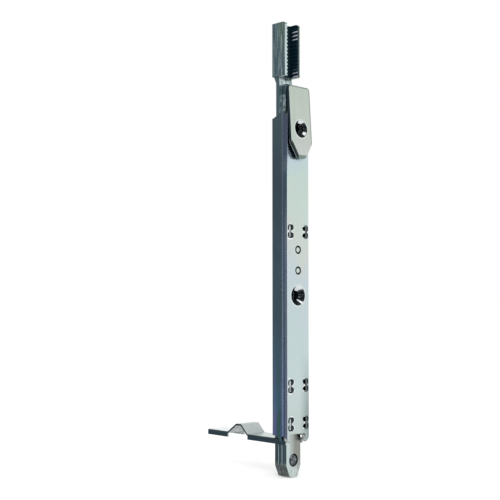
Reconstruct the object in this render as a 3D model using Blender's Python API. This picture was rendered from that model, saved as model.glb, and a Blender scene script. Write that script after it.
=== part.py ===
"""Shootbolt for the edge of a door: a laminated bolt bar that slides in a steel channel.

Metres, +Z up. X runs across the faceplate, and the faceplate's front looks towards -Y.
Every piece is made with Y as its depth behind the faceplate's front and with Z as its
height above the flat top of the end bracket. An empty then carries them all so that the
origin lies on the channel's back face, where the lock sits in the door's groove. The
bolt is modelled thrown, and it moves up by THROW when it is drawn back.
"""

import math

import bmesh
import bpy
from mathutils import Vector

# How finely curves are drawn, and how far cutters reach past what they cut
ROUND_SEGMENTS = 32
CORNER_SEGMENTS = 5
FOOT_SEGMENTS = 10
ROUND_END_SHARE = 0.98
SHARP_ANGLE = math.radians(35)
CUT_MARGIN = 0.002

# Clearances
SEAT_GAP = 0.0003
SLIDE_GAP = 0.0003
SCREW_SLOT_GAP = 0.0003
SCREW_HOLE_GAP = 0.0001

# Height of the world origin on the channel's back face, on a stretch with no holes
SEAT_HEIGHT = 0.0500

# Faceplate
FACEPLATE_MARGIN = 0.00175
FACEPLATE_THICKNESS = 0.0025
FACEPLATE_ABOVE_SCREW = 0.0071
FACEPLATE_DROP = 0.0020
FACEPLATE_EDGE_RADIUS = 0.0006
FACEPLATE_FOOT_RADIUS = 0.0040
LEG_WIDTH = 0.0030
NOTCH_TOP = 0.0024
NOTCH_CORNER_RADIUS = 0.0008

# Screw holes
SCREW_RADIUS = 0.0025
LOWER_SCREW_HEIGHT = 0.0703
COUNTERSINK_RADIUS = 0.0050
COVER_COUNTERSINK_RADIUS = 0.0045
COUNTERSINK_LAND = 0.0002

# Staked lugs that hold the channel to the faceplate
LOWER_LUG_HEIGHT = 0.0075
MIDDLE_LUG_STEP = 0.0185
UPPER_LUG_ABOVE_RIVET = 0.0090
LUG_LENGTH = 0.0054
LUG_RECESS = 0.00015
LUG_SLOT_LOBE_WIDTH = 0.0042
LUG_SLOT_LOBE_HEIGHT = 0.0029
LUG_SLOT_LOBE_SPACING = 0.0039
LUG_SLOT_LOBE_INSET = 0.0001
LUG_SLOT_WAIST_MARGIN = 0.0004
LUG_SLOT_CORNER_SHARE = 0.48
LUG_SLOT_FILLET_LIMIT = 0.9

# Channel behind the faceplate
CHANNEL_WIDTH = 0.0125
CHANNEL_WALL = 0.0009
CHANNEL_BOTTOM = 0.0012
CHANNEL_SHORT_OF_FACEPLATE = 0.0009
CHANNEL_BEND_RADIUS = 0.0011
CHANNEL_TOP_RISE = 0.0028
CHANNEL_RISE_START = 0.0024
CHANNEL_RISE_BACK_MARGIN = 0.0017
CHANNEL_TOP_CORNER_RADIUS = 0.0012

# Tenons at the channel's lower end, staked into the end bracket
TENON_WIDTH = 0.0018
TENON_REACH = 0.0019
TENON_BEHIND_FACEPLATE = 0.0037

# Cover plate that laps over the joint with the next faceplate
COVER_WIDTH = 0.0150
COVER_THICKNESS = 0.0015
COVER_ABOVE_CONTACT = 0.0143
COVER_BELOW_CONTACT = 0.0220
COVER_POINT_HEIGHT = 0.0079
COVER_POINT_WIDTH = 0.0052
COVER_POINT_RADIUS = 0.0020
COVER_BEVEL_HEIGHT = 0.0020
COVER_BEVEL_DEPTH = 0.0010
COVER_CORNER_RADIUS = 0.0016
COVER_TILT = math.radians(3.6)

# Bolt bar, three riveted plates
THROW = 0.0200
BOLT_REACH = 0.0190
BAR_BEHIND_FACEPLATE = 0.0006
FRONT_PLATE_THICKNESS = 0.0022
MIDDLE_PLATE_THICKNESS = 0.0020
REAR_PLATE_THICKNESS = 0.0030
BOLT_TIP_CHAMFER_WIDTH = 0.0025
BOLT_TIP_CHAMFER_HEIGHT = 0.0056
BOLT_TIP_CORNER_RADIUS = 0.0010
BAR_CORNER_RADIUS = 0.0005

# Broken edge round every rivet's head
RIVET_EDGE = 0.0004

# Rivets of the bolt bar
BOLT_RIVET_HEAD_RADIUS = 0.0029
BOLT_RIVET_SHANK_RADIUS = 0.0019
BOLT_RIVET_HEAD_DEPTH = 0.0011
BOLT_RIVET_SINK = 0.0004
TIP_RIVET_ABOVE_TIP = 0.0082
LOWER_RIVET_BELOW_SLOT = 0.0185
UPPER_RIVET_ABOVE_SLOT = 0.0168
UPPER_SLOT_ABOVE_RIVET = 0.0172
CONNECTOR_RIVET_HEAD_RADIUS = 0.0022
CONNECTOR_RIVET_SHANK_RADIUS = 0.0014
CONNECTOR_RIVET_HEAD_DEPTH = 0.0009
CONNECTOR_RIVET_SINK = 0.0001
CONNECTOR_RIVET_SPACING = 0.0064

# Travel stop block inside the bar's slot, with the two case rivets that hold it
STOP_SHOULDER = 0.0002
STOP_END_MARGIN = 0.0029
STOP_CORNER_RADIUS = 0.0010
CASE_RIVET_ABOVE_SCREW = 0.0124
CASE_RIVET_SPACING = 0.0103
CASE_RIVET_HEAD_RADIUS = 0.0018
CASE_RIVET_SHANK_RADIUS = 0.0012
CASE_RIVET_HEAD_DEPTH = 0.0012
CASE_RIVET_SINK = 0.0001

# Toothed connector
CONNECTOR_WIDTH = 0.0110
CONNECTOR_LENGTH = 0.0272
CONNECTOR_INSET = 0.0002
CONNECTOR_SET_BACK = 0.0012
CONNECTOR_BASE = 0.0034
CONNECTOR_WALL = 0.0013
CONNECTOR_ABOVE_BAR = 0.0044
CONNECTOR_CORNER_RADIUS = 0.0014
TOOTH_HEIGHT = 0.0008
TOOTH_PITCH = 0.0019
TONGUE_THICKNESS = 0.0023
TONGUE_INSET = 0.00035
TONGUE_LAP = 0.0154
TONGUE_ABOVE_SLOT = 0.0046
JOGGLE_HEIGHT = 0.0030
JOGGLE_LEAD = 0.0016

# End bracket
BRACKET_SHEET = 0.0009
BRACKET_FLANGE_HEIGHT = 0.0028
BRACKET_BEND_RADIUS = 0.0007
BRACKET_PAD_LENGTH = 0.0152
HUMP_BEHIND_CHANNEL = 0.0172
HUMP_NEAR_RUN = 0.0045
HUMP_TOP_LENGTH = 0.0038
HUMP_FAR_RUN = 0.0062
HUMP_RISE = 0.0046
HUMP_BEND_RADIUS = 0.0010

# Finishes: colour and roughness
ZINC_PALE = ((0.62, 0.66, 0.66), 0.30)
ZINC_DARK = ((0.33, 0.37, 0.40), 0.38)
RIVET_STEEL = ((0.42, 0.43, 0.43), 0.45)

# Depths that follow from the sizes above, from the faceplate's front to the back
FACEPLATE_BACK = FACEPLATE_THICKNESS
CHANNEL_FRONT = FACEPLATE_BACK + SEAT_GAP
BAR_FRONT = CHANNEL_FRONT + BAR_BEHIND_FACEPLATE
FRONT_PLATE_BACK = BAR_FRONT + FRONT_PLATE_THICKNESS
MIDDLE_PLATE_FRONT = FRONT_PLATE_BACK + SEAT_GAP
MIDDLE_PLATE_BACK = MIDDLE_PLATE_FRONT + MIDDLE_PLATE_THICKNESS
REAR_PLATE_FRONT = MIDDLE_PLATE_BACK + SEAT_GAP
BAR_BACK = REAR_PLATE_FRONT + REAR_PLATE_THICKNESS
TONGUE_BACK = REAR_PLATE_FRONT + TONGUE_THICKNESS
CHANNEL_INNER_BACK = BAR_BACK + SLIDE_GAP
CHANNEL_BACK = CHANNEL_INNER_BACK + CHANNEL_WALL
CONNECTOR_FRONT = BAR_FRONT + CONNECTOR_INSET
CONNECTOR_BACK = BAR_BACK + CONNECTOR_SET_BACK
TENON_CENTRE_DEPTH = CHANNEL_FRONT + TENON_BEHIND_FACEPLATE
BRACKET_FRONT = CHANNEL_FRONT
HUMP_NEAR_FOOT = CHANNEL_BACK + HUMP_BEHIND_CHANNEL
HUMP_NEAR_TOP = HUMP_NEAR_FOOT + HUMP_NEAR_RUN
HUMP_FAR_TOP = HUMP_NEAR_TOP + HUMP_TOP_LENGTH
HUMP_FAR_FOOT = HUMP_FAR_TOP + HUMP_FAR_RUN
BRACKET_BACK = HUMP_FAR_FOOT + BRACKET_PAD_LENGTH

# Half widths
CHANNEL_HALF = CHANNEL_WIDTH / 2
CHANNEL_INNER_HALF = CHANNEL_HALF - CHANNEL_WALL
WALL_CENTRE = CHANNEL_HALF - CHANNEL_WALL / 2
BAR_HALF = CHANNEL_INNER_HALF - SLIDE_GAP
TONGUE_HALF = BAR_HALF - TONGUE_INSET
FACEPLATE_HALF = CHANNEL_HALF + FACEPLATE_MARGIN
NOTCH_HALF = FACEPLATE_HALF - LEG_WIDTH
SCREW_SLOT_HALF = SCREW_RADIUS + SCREW_SLOT_GAP
SCREW_SLOT_CORNER = SCREW_SLOT_HALF * ROUND_END_SHARE
SCREW_HOLE_RADIUS = SCREW_RADIUS + SCREW_HOLE_GAP
COVER_HOLE_RADIUS = COVER_COUNTERSINK_RADIUS - COVER_THICKNESS
STOP_HALF = SCREW_SLOT_HALF + STOP_SHOULDER
STOP_SLOT_HALF = STOP_HALF + SLIDE_GAP

# Heights that follow, from the bolt's tip up to the connector
BOLT_TIP = -BOLT_REACH
FACEPLATE_FOOT = -FACEPLATE_DROP
CASE_RIVET_LOWER_HEIGHT = LOWER_SCREW_HEIGHT + CASE_RIVET_ABOVE_SCREW
CASE_RIVET_UPPER_HEIGHT = CASE_RIVET_LOWER_HEIGHT + CASE_RIVET_SPACING
STOP_BOTTOM = CASE_RIVET_LOWER_HEIGHT - STOP_END_MARGIN
STOP_TOP = CASE_RIVET_UPPER_HEIGHT + STOP_END_MARGIN
LOWER_SLOT_BOTTOM = LOWER_SCREW_HEIGHT - THROW - SCREW_SLOT_HALF
LOWER_SLOT_SHOULDER = STOP_BOTTOM - THROW - SEAT_GAP
LOWER_SLOT_TOP = STOP_TOP + SEAT_GAP
BOLT_TIP_RIVET_HEIGHT = BOLT_TIP + TIP_RIVET_ABOVE_TIP
BOLT_LOWER_RIVET_HEIGHT = LOWER_SLOT_BOTTOM - LOWER_RIVET_BELOW_SLOT
BOLT_UPPER_RIVET_HEIGHT = LOWER_SLOT_TOP + UPPER_RIVET_ABOVE_SLOT
UPPER_SLOT_BOTTOM = BOLT_UPPER_RIVET_HEIGHT + UPPER_SLOT_ABOVE_RIVET
UPPER_SCREW_HEIGHT = UPPER_SLOT_BOTTOM + SCREW_SLOT_HALF + THROW
UPPER_SLOT_TOP = UPPER_SCREW_HEIGHT + SCREW_SLOT_HALF
FACEPLATE_TOP = UPPER_SCREW_HEIGHT + FACEPLATE_ABOVE_SCREW
CHANNEL_TOP = FACEPLATE_TOP - CHANNEL_SHORT_OF_FACEPLATE
TONGUE_BOTTOM = UPPER_SLOT_TOP + TONGUE_ABOVE_SLOT
REAR_PLATE_TOP = TONGUE_BOTTOM - SEAT_GAP
BAR_TOP = TONGUE_BOTTOM + TONGUE_LAP
CONNECTOR_BOTTOM = BAR_TOP + CONNECTOR_ABOVE_BAR
CONNECTOR_TOP = CONNECTOR_BOTTOM + CONNECTOR_LENGTH
CONNECTOR_RIVET_MIDDLE = (TONGUE_BOTTOM + BAR_TOP) / 2
CONNECTOR_RIVET_LOWER_HEIGHT = CONNECTOR_RIVET_MIDDLE - CONNECTOR_RIVET_SPACING / 2
CONNECTOR_RIVET_UPPER_HEIGHT = CONNECTOR_RIVET_MIDDLE + CONNECTOR_RIVET_SPACING / 2
LUG_HEIGHTS = (
    LOWER_LUG_HEIGHT, LOWER_LUG_HEIGHT + MIDDLE_LUG_STEP,
    CASE_RIVET_UPPER_HEIGHT + UPPER_LUG_ABOVE_RIVET,
)

# The two kinds of bar rivet: head radius, shank radius, depth of a head, how far it is sunk,
# and the depth of the back face that it ends at
BOLT_RIVET = (
    BOLT_RIVET_HEAD_RADIUS, BOLT_RIVET_SHANK_RADIUS, BOLT_RIVET_HEAD_DEPTH, BOLT_RIVET_SINK,
    BAR_BACK)
CONNECTOR_RIVET = (
    CONNECTOR_RIVET_HEAD_RADIUS, CONNECTOR_RIVET_SHANK_RADIUS, CONNECTOR_RIVET_HEAD_DEPTH,
    CONNECTOR_RIVET_SINK, TONGUE_BACK)
BAR_RIVETS = (
    ("bolt_rivet_tip", BOLT_RIVET, BOLT_TIP_RIVET_HEIGHT),
    ("bolt_rivet_lower", BOLT_RIVET, BOLT_LOWER_RIVET_HEIGHT),
    ("bolt_rivet_upper", BOLT_RIVET, BOLT_UPPER_RIVET_HEIGHT),
    ("connector_rivet_lower", CONNECTOR_RIVET, CONNECTOR_RIVET_LOWER_HEIGHT),
    ("connector_rivet_upper", CONNECTOR_RIVET, CONNECTOR_RIVET_UPPER_HEIGHT),
)
CASE_RIVETS = (
    ("case_rivet_lower", CASE_RIVET_LOWER_HEIGHT),
    ("case_rivet_upper", CASE_RIVET_UPPER_HEIGHT),
)


def remove_everything():
    """Empty the scene."""
    for item in list(bpy.data.objects):
        bpy.data.objects.remove(item, do_unlink=True)


def metal(name, look):
    """A metal finish, of its own for one piece."""
    colour, roughness = look
    material = bpy.data.materials.new(name + "_finish")
    material.use_nodes = True
    shader = material.node_tree.nodes["Principled BSDF"]
    shader.inputs["Base Color"].default_value = (*colour, 1.0)
    shader.inputs["Metallic"].default_value = 1.0
    shader.inputs["Roughness"].default_value = roughness
    return material


def rounded(corners, segments=CORNER_SEGMENTS):
    """Turn (x, y, radius) corners into a list of points, with an arc at each radius."""
    points = []
    count = len(corners)
    for index, (x, y, radius) in enumerate(corners):
        corner = Vector((x, y))
        if radius <= 0:
            points.append(corner)
            continue
        before = Vector(corners[index - 1][:2]) - corner
        after = Vector(corners[(index + 1) % count][:2]) - corner
        half_angle = before.angle(after) / 2
        reach = radius / math.tan(half_angle)
        start = corner + before.normalized() * reach
        end = corner + after.normalized() * reach
        middle = (before.normalized() + after.normalized()).normalized()
        centre = corner + middle * (radius / math.sin(half_angle))
        start_angle = math.atan2(start.y - centre.y, start.x - centre.x)
        end_angle = math.atan2(end.y - centre.y, end.x - centre.x)
        sweep = (end_angle - start_angle + math.pi) % (2 * math.pi) - math.pi
        for step in range(segments + 1):
            angle = start_angle + sweep * step / segments
            points.append(centre + radius * Vector((math.cos(angle), math.sin(angle))))
    return points


def sharp(points):
    """Corners with no radius."""
    return [Vector(point) for point in points]


def rectangle(low_x, low_y, high_x, high_y, radius=0.0):
    """A rectangle's outline, its corners rounded where a radius is given."""
    corners = ((low_x, low_y), (high_x, low_y), (high_x, high_y), (low_x, high_y))
    return rounded([(x, y, radius) for x, y in corners])


def place(point, axis, along):
    """Put a 2D point of an outline into space, at a distance along the axis."""
    first, second = point
    if axis == "x":
        return (along, first, second)
    if axis == "y":
        return (first, along, second)
    return (first, second, along)


def add_prism(mesh, outline, axis, low, high):
    """Add an outline, extruded along an axis, to a bmesh as one closed shell."""
    base = [mesh.verts.new(place(point, axis, low)) for point in outline]
    top = [mesh.verts.new(place(point, axis, high)) for point in outline]
    faces = [mesh.faces.new(base), mesh.faces.new(top)]
    count = len(outline)
    for index in range(count):
        following = (index + 1) % count
        side = (base[index], base[following], top[following], top[index])
        faces.append(mesh.faces.new(side))
    bmesh.ops.recalc_face_normals(mesh, faces=faces)


def add_turned(mesh, profile, x, z):
    """Add a solid turned about an axis along Y, from (radius, y) points, front to back."""
    rings = []
    for radius, y in profile:
        ring = []
        for step in range(ROUND_SEGMENTS):
            angle = 2 * math.pi * step / ROUND_SEGMENTS
            ring.append(mesh.verts.new((x + radius * math.cos(angle), y, z + radius * math.sin(angle))))
        rings.append(ring)
    faces = [mesh.faces.new(rings[0]), mesh.faces.new(rings[-1])]
    for near, far in zip(rings, rings[1:]):
        for step in range(ROUND_SEGMENTS):
            following = (step + 1) % ROUND_SEGMENTS
            faces.append(mesh.faces.new((near[step], near[following], far[following], far[step])))
    bmesh.ops.recalc_face_normals(mesh, faces=faces)


def new_object(name, mesh, origin=(0.0, 0.0, 0.0)):
    """Make an object from a bmesh, with its origin at the given point."""
    bmesh.ops.translate(mesh, verts=mesh.verts, vec=-Vector(origin))
    data = bpy.data.meshes.new(name)
    mesh.to_mesh(data)
    mesh.free()
    made = bpy.data.objects.new(name, data)
    made.location = origin
    bpy.context.scene.collection.objects.link(made)
    return made


def finish(made, look, round_piece=False):
    """Give a piece its own material, and smooth shading where it is round."""
    made.data.materials.append(metal(made.name, look))
    if round_piece:
        made.data.shade_smooth()
        made.data.set_sharp_from_angle(angle=SHARP_ANGLE)


def combine(target, other_mesh, operation):
    """Cut, join or intersect an object with the shells of a bmesh, by a Boolean."""
    tool = new_object(target.name + "_" + operation.lower(), other_mesh, target.location)
    tool.hide_render = True
    tool.display_type = "WIRE"
    boolean = target.modifiers.new(operation.title(), "BOOLEAN")
    boolean.operation = operation
    boolean.solver = "EXACT"
    boolean.object = tool


def prism_object(name, outline, axis, low, high, origin=(0.0, 0.0, 0.0)):
    """One extruded outline as an object."""
    mesh = bmesh.new()
    add_prism(mesh, outline, axis, low, high)
    return new_object(name, mesh, origin)


def mirrored(outline):
    """The same outline on the other side of X zero."""
    return [Vector((-point[0], point[1])) for point in reversed(outline)]


def lug_slot_outline(height):
    """Two pill shaped lobes joined by a narrow waist, round one lug on the +X side."""
    half_lug = CHANNEL_WALL / 2
    lobe_centre = WALL_CENTRE - half_lug - LUG_SLOT_LOBE_INSET
    low_x = lobe_centre - LUG_SLOT_LOBE_WIDTH / 2
    high_x = lobe_centre + LUG_SLOT_LOBE_WIDTH / 2
    waist_low = WALL_CENTRE - half_lug - LUG_SLOT_WAIST_MARGIN
    waist_high = WALL_CENTRE + half_lug + LUG_SLOT_WAIST_MARGIN
    inner = LUG_SLOT_LOBE_SPACING / 2 - LUG_SLOT_LOBE_HEIGHT / 2
    outer = LUG_SLOT_LOBE_SPACING / 2 + LUG_SLOT_LOBE_HEIGHT / 2
    radius = LUG_SLOT_LOBE_HEIGHT * LUG_SLOT_CORNER_SHARE
    near_radius = min(radius, LUG_SLOT_FILLET_LIMIT * (waist_low - low_x))
    far_radius = min(radius, LUG_SLOT_FILLET_LIMIT * (high_x - waist_high))
    corners = (
        (low_x, -outer, radius), (high_x, -outer, radius),
        (high_x, -inner, far_radius), (waist_high, -inner, 0),
        (waist_high, inner, 0), (high_x, inner, far_radius),
        (high_x, outer, radius), (low_x, outer, radius),
        (low_x, inner, near_radius), (waist_low, inner, 0),
        (waist_low, -inner, 0), (low_x, -inner, near_radius),
    )
    return rounded([(x, height + z, r) for x, z, r in corners])


def make_faceplate():
    """The long plate, with a notched foot, slots for the lugs and its holes."""
    half = FACEPLATE_HALF
    notch = NOTCH_HALF
    front_view = rounded((
        (-half, FACEPLATE_FOOT, FACEPLATE_FOOT_RADIUS),
        (half, FACEPLATE_FOOT, FACEPLATE_FOOT_RADIUS),
        (half, FACEPLATE_TOP, 0),
        (-half, FACEPLATE_TOP, 0),
    ), FOOT_SEGMENTS)
    notch_outline = rounded((
        (-notch, FACEPLATE_FOOT - CUT_MARGIN, 0),
        (-notch, NOTCH_TOP, NOTCH_CORNER_RADIUS),
        (notch, NOTCH_TOP, NOTCH_CORNER_RADIUS),
        (notch, FACEPLATE_FOOT - CUT_MARGIN, 0),
    ))
    section = rounded((
        (-half, 0, FACEPLATE_EDGE_RADIUS), (half, 0, FACEPLATE_EDGE_RADIUS),
        (half, FACEPLATE_BACK, 0), (-half, FACEPLATE_BACK, 0),
    ))
    plate = prism_object("faceplate", front_view, "y", -CUT_MARGIN, FACEPLATE_BACK + CUT_MARGIN)
    limits = bmesh.new()
    low = FACEPLATE_FOOT - CUT_MARGIN
    high = FACEPLATE_TOP + CUT_MARGIN
    add_prism(limits, section, "z", low, high)
    combine(plate, limits, "INTERSECT")

    holes = bmesh.new()
    add_prism(holes, notch_outline, "y", -CUT_MARGIN, FACEPLATE_BACK + CUT_MARGIN)
    for height in LUG_HEIGHTS:
        outline = lug_slot_outline(height)
        add_prism(holes, outline, "y", -CUT_MARGIN, FACEPLATE_BACK + CUT_MARGIN)
        add_prism(holes, mirrored(outline), "y", -CUT_MARGIN, FACEPLATE_BACK + CUT_MARGIN)
    cone_depth = FACEPLATE_THICKNESS - COUNTERSINK_LAND
    add_turned(holes, (
        (COUNTERSINK_RADIUS, -CUT_MARGIN), (COUNTERSINK_RADIUS, 0),
        (SCREW_HOLE_RADIUS, cone_depth), (SCREW_HOLE_RADIUS, FACEPLATE_BACK + CUT_MARGIN),
    ), 0.0, LOWER_SCREW_HEIGHT)
    add_turned(holes, (
        (COVER_HOLE_RADIUS, -CUT_MARGIN), (COVER_HOLE_RADIUS, FACEPLATE_BACK + CUT_MARGIN),
    ), 0.0, UPPER_SCREW_HEIGHT)
    for _, height in CASE_RIVETS:
        add_case_rivet_hole(holes, height)
    combine(plate, holes, "DIFFERENCE")
    finish(plate, ZINC_PALE)


def add_case_rivet_hole(mesh, height):
    """The stepped hole of one case rivet, from the faceplate to behind the channel."""
    head = CASE_RIVET_HEAD_RADIUS + SEAT_GAP
    shank = CASE_RIVET_SHANK_RADIUS + SEAT_GAP
    step = CASE_RIVET_SINK + CASE_RIVET_HEAD_DEPTH + SEAT_GAP
    back = CHANNEL_BACK + CUT_MARGIN
    add_turned(mesh, ((head, -CUT_MARGIN), (head, step), (shank, step), (shank, back)), 0.0, height)


def make_case_rivet(name, height):
    """A rivet that holds the stop block between faceplate and channel."""
    step = CASE_RIVET_SINK + CASE_RIVET_HEAD_DEPTH
    back = CHANNEL_BACK - CASE_RIVET_SINK
    mesh = bmesh.new()
    add_turned(mesh, (
        (CASE_RIVET_HEAD_RADIUS - RIVET_EDGE, CASE_RIVET_SINK),
        (CASE_RIVET_HEAD_RADIUS, CASE_RIVET_SINK + RIVET_EDGE), (CASE_RIVET_HEAD_RADIUS, step),
        (CASE_RIVET_SHANK_RADIUS, step), (CASE_RIVET_SHANK_RADIUS, back),
    ), 0.0, height)
    rivet = new_object(name, mesh, (0.0, 0.0, height))
    finish(rivet, RIVET_STEEL, round_piece=True)


def make_stop_block():
    """The block that the bar's slot runs on, which stops the bolt at both ends."""
    outline = rectangle(-STOP_HALF, STOP_BOTTOM, STOP_HALF, STOP_TOP, STOP_CORNER_RADIUS)
    back = CHANNEL_INNER_BACK - SEAT_GAP
    centre = (0.0, 0.0, (STOP_BOTTOM + STOP_TOP) / 2)
    block = prism_object("stop_block", outline, "y", CHANNEL_FRONT, back, centre)
    holes = bmesh.new()
    for _, height in CASE_RIVETS:
        add_case_rivet_hole(holes, height)
    combine(block, holes, "DIFFERENCE")
    finish(block, ZINC_DARK)


def make_channel():
    """The folded channel, with lugs through the faceplate and tenons into the bracket."""
    top_front = CHANNEL_TOP + CHANNEL_TOP_RISE
    rise_front = CHANNEL_FRONT + CHANNEL_RISE_START
    rise_back = CHANNEL_BACK - CHANNEL_RISE_BACK_MARGIN
    tenon_low = TENON_CENTRE_DEPTH - TENON_WIDTH / 2
    tenon_high = TENON_CENTRE_DEPTH + TENON_WIDTH / 2
    side_view = [
        (CHANNEL_FRONT, CHANNEL_BOTTOM, 0),
        (tenon_low, CHANNEL_BOTTOM, 0),
        (tenon_low, -TENON_REACH, 0),
        (tenon_high, -TENON_REACH, 0),
        (tenon_high, CHANNEL_BOTTOM, 0),
        (CHANNEL_BACK, CHANNEL_BOTTOM, 0),
        (CHANNEL_BACK, CHANNEL_TOP, CHANNEL_TOP_CORNER_RADIUS),
        (rise_back, CHANNEL_TOP, 0),
        (rise_front, top_front, 0),
        (CHANNEL_FRONT, top_front, 0),
    ]
    for height in reversed(LUG_HEIGHTS):
        low = height - LUG_LENGTH / 2
        high = height + LUG_LENGTH / 2
        side_view += [
            (CHANNEL_FRONT, high, 0), (LUG_RECESS, high, 0),
            (LUG_RECESS, low, 0), (CHANNEL_FRONT, low, 0),
        ]
    channel = prism_object("guide_channel", rounded(side_view), "x", -CHANNEL_HALF, CHANNEL_HALF)

    inner_radius = max(CHANNEL_BEND_RADIUS - CHANNEL_WALL, 0.0)
    section = rounded((
        (-CHANNEL_HALF, -CUT_MARGIN, 0),
        (-CHANNEL_INNER_HALF, -CUT_MARGIN, 0),
        (-CHANNEL_INNER_HALF, CHANNEL_INNER_BACK, inner_radius),
        (CHANNEL_INNER_HALF, CHANNEL_INNER_BACK, inner_radius),
        (CHANNEL_INNER_HALF, -CUT_MARGIN, 0),
        (CHANNEL_HALF, -CUT_MARGIN, 0),
        (CHANNEL_HALF, CHANNEL_BACK, CHANNEL_BEND_RADIUS),
        (-CHANNEL_HALF, CHANNEL_BACK, CHANNEL_BEND_RADIUS),
    ))
    folded = bmesh.new()
    low = -TENON_REACH - CUT_MARGIN
    add_prism(folded, section, "z", low, top_front + CUT_MARGIN)
    combine(channel, folded, "INTERSECT")

    holes = bmesh.new()
    for height in (LOWER_SCREW_HEIGHT, UPPER_SCREW_HEIGHT):
        add_turned(holes, (
            (SCREW_HOLE_RADIUS, CHANNEL_INNER_BACK - CUT_MARGIN),
            (SCREW_HOLE_RADIUS, CHANNEL_BACK + CUT_MARGIN),
        ), 0.0, height)
    for _, height in CASE_RIVETS:
        add_turned(holes, (
            (CASE_RIVET_SHANK_RADIUS + SEAT_GAP, CHANNEL_INNER_BACK - CUT_MARGIN),
            (CASE_RIVET_SHANK_RADIUS + SEAT_GAP, CHANNEL_BACK + CUT_MARGIN),
        ), 0.0, height)
    combine(channel, holes, "DIFFERENCE")
    finish(channel, ZINC_DARK)


def make_cover_plate():
    """The pointed plate on the faceplate's upper end, its lower end lifted a little."""
    half = COVER_WIDTH / 2
    point_half = COVER_POINT_WIDTH / 2
    foot = -COVER_BELOW_CONTACT
    point_top = foot + COVER_POINT_HEIGHT
    round_off = COVER_POINT_RADIUS
    outline = rounded((
        (-point_half, foot, round_off), (point_half, foot, round_off),
        (half, point_top, round_off), (half, COVER_ABOVE_CONTACT, COVER_CORNER_RADIUS),
        (-half, COVER_ABOVE_CONTACT, COVER_CORNER_RADIUS), (-half, point_top, round_off),
    ))
    plate = prism_object("cover_plate", outline, "y", -COVER_THICKNESS, 0.0)
    hole_height = (UPPER_SCREW_HEIGHT - FACEPLATE_TOP) / math.cos(COVER_TILT)
    holes = bmesh.new()
    add_turned(holes, (
        (COVER_COUNTERSINK_RADIUS, -COVER_THICKNESS - CUT_MARGIN),
        (COVER_COUNTERSINK_RADIUS, -COVER_THICKNESS),
        (COVER_HOLE_RADIUS, 0.0), (COVER_HOLE_RADIUS, CUT_MARGIN),
    ), 0.0, hole_height)
    add_prism(holes, sharp((
        (-COVER_THICKNESS - CUT_MARGIN, foot - CUT_MARGIN),
        (COVER_BEVEL_DEPTH - COVER_THICKNESS, foot - CUT_MARGIN),
        (COVER_BEVEL_DEPTH - COVER_THICKNESS, foot),
        (-COVER_THICKNESS, foot + COVER_BEVEL_HEIGHT),
        (-COVER_THICKNESS - CUT_MARGIN, foot + COVER_BEVEL_HEIGHT),
    )), "x", -half, half)
    combine(plate, holes, "DIFFERENCE")
    tool = plate.modifiers[0].object
    for item in (plate, tool):
        item.location = (0.0, -SEAT_GAP, FACEPLATE_TOP)
        item.rotation_euler = (-COVER_TILT, 0.0, 0.0)
    finish(plate, ZINC_PALE)


def bar_outline(half, bottom, top, top_radius):
    """The front view of one bar plate, with the chamfered tip at its lower end."""
    tip_half = half - BOLT_TIP_CHAMFER_WIDTH
    shoulder = bottom + BOLT_TIP_CHAMFER_HEIGHT
    return rounded((
        (-tip_half, bottom, BOLT_TIP_CORNER_RADIUS), (tip_half, bottom, BOLT_TIP_CORNER_RADIUS),
        (half, shoulder, 0), (half, top, top_radius),
        (-half, top, top_radius), (-half, shoulder, 0),
    ))


def add_bar_slots(mesh):
    """The slots that let the bar slide past the screws and the stop block."""
    front = BAR_FRONT - CUT_MARGIN
    back = BAR_BACK + CUT_MARGIN
    narrow = SCREW_SLOT_HALF
    wide = STOP_SLOT_HALF
    lower_slot = rounded((
        (-narrow, LOWER_SLOT_BOTTOM, SCREW_SLOT_CORNER),
        (narrow, LOWER_SLOT_BOTTOM, SCREW_SLOT_CORNER),
        (narrow, LOWER_SLOT_SHOULDER, 0), (wide, LOWER_SLOT_SHOULDER, 0),
        (wide, LOWER_SLOT_TOP, STOP_CORNER_RADIUS), (-wide, LOWER_SLOT_TOP, STOP_CORNER_RADIUS),
        (-wide, LOWER_SLOT_SHOULDER, 0), (-narrow, LOWER_SLOT_SHOULDER, 0),
    ))
    add_prism(mesh, lower_slot, "y", front, back)
    upper_slot = rectangle(-narrow, UPPER_SLOT_BOTTOM, narrow, UPPER_SLOT_TOP, SCREW_SLOT_CORNER)
    add_prism(mesh, upper_slot, "y", front, back)


def rivet_profile(kind, grow, front, back):
    """A rivet's (radius, y) points with a head at each end, grown by a gap for its hole."""
    head_radius, shank_radius, head_depth, sink, back_face = kind
    head = head_radius + grow
    shank = shank_radius + grow
    front_step = BAR_FRONT + sink + head_depth + grow
    back_step = back_face - sink - head_depth - grow
    return (
        (head, front), (head, front_step), (shank, front_step),
        (shank, back_step), (head, back_step), (head, back),
    )


def add_rivet_hole(mesh, kind, height):
    """The stepped hole for one rivet, through the whole bar."""
    front = BAR_FRONT - CUT_MARGIN
    back = BAR_BACK + CUT_MARGIN
    add_turned(mesh, rivet_profile(kind, SEAT_GAP, front, back), 0.0, height)


def make_bar_plate(name, front, back, top, top_radius, look):
    """One of the three plates of the bolt bar."""
    outline = bar_outline(BAR_HALF, BOLT_TIP, top, top_radius)
    plate = prism_object(name, outline, "y", front, back)
    holes = bmesh.new()
    add_bar_slots(holes)
    for _, kind, height in BAR_RIVETS:
        add_rivet_hole(holes, kind, height)
    combine(plate, holes, "DIFFERENCE")
    finish(plate, look)


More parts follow.
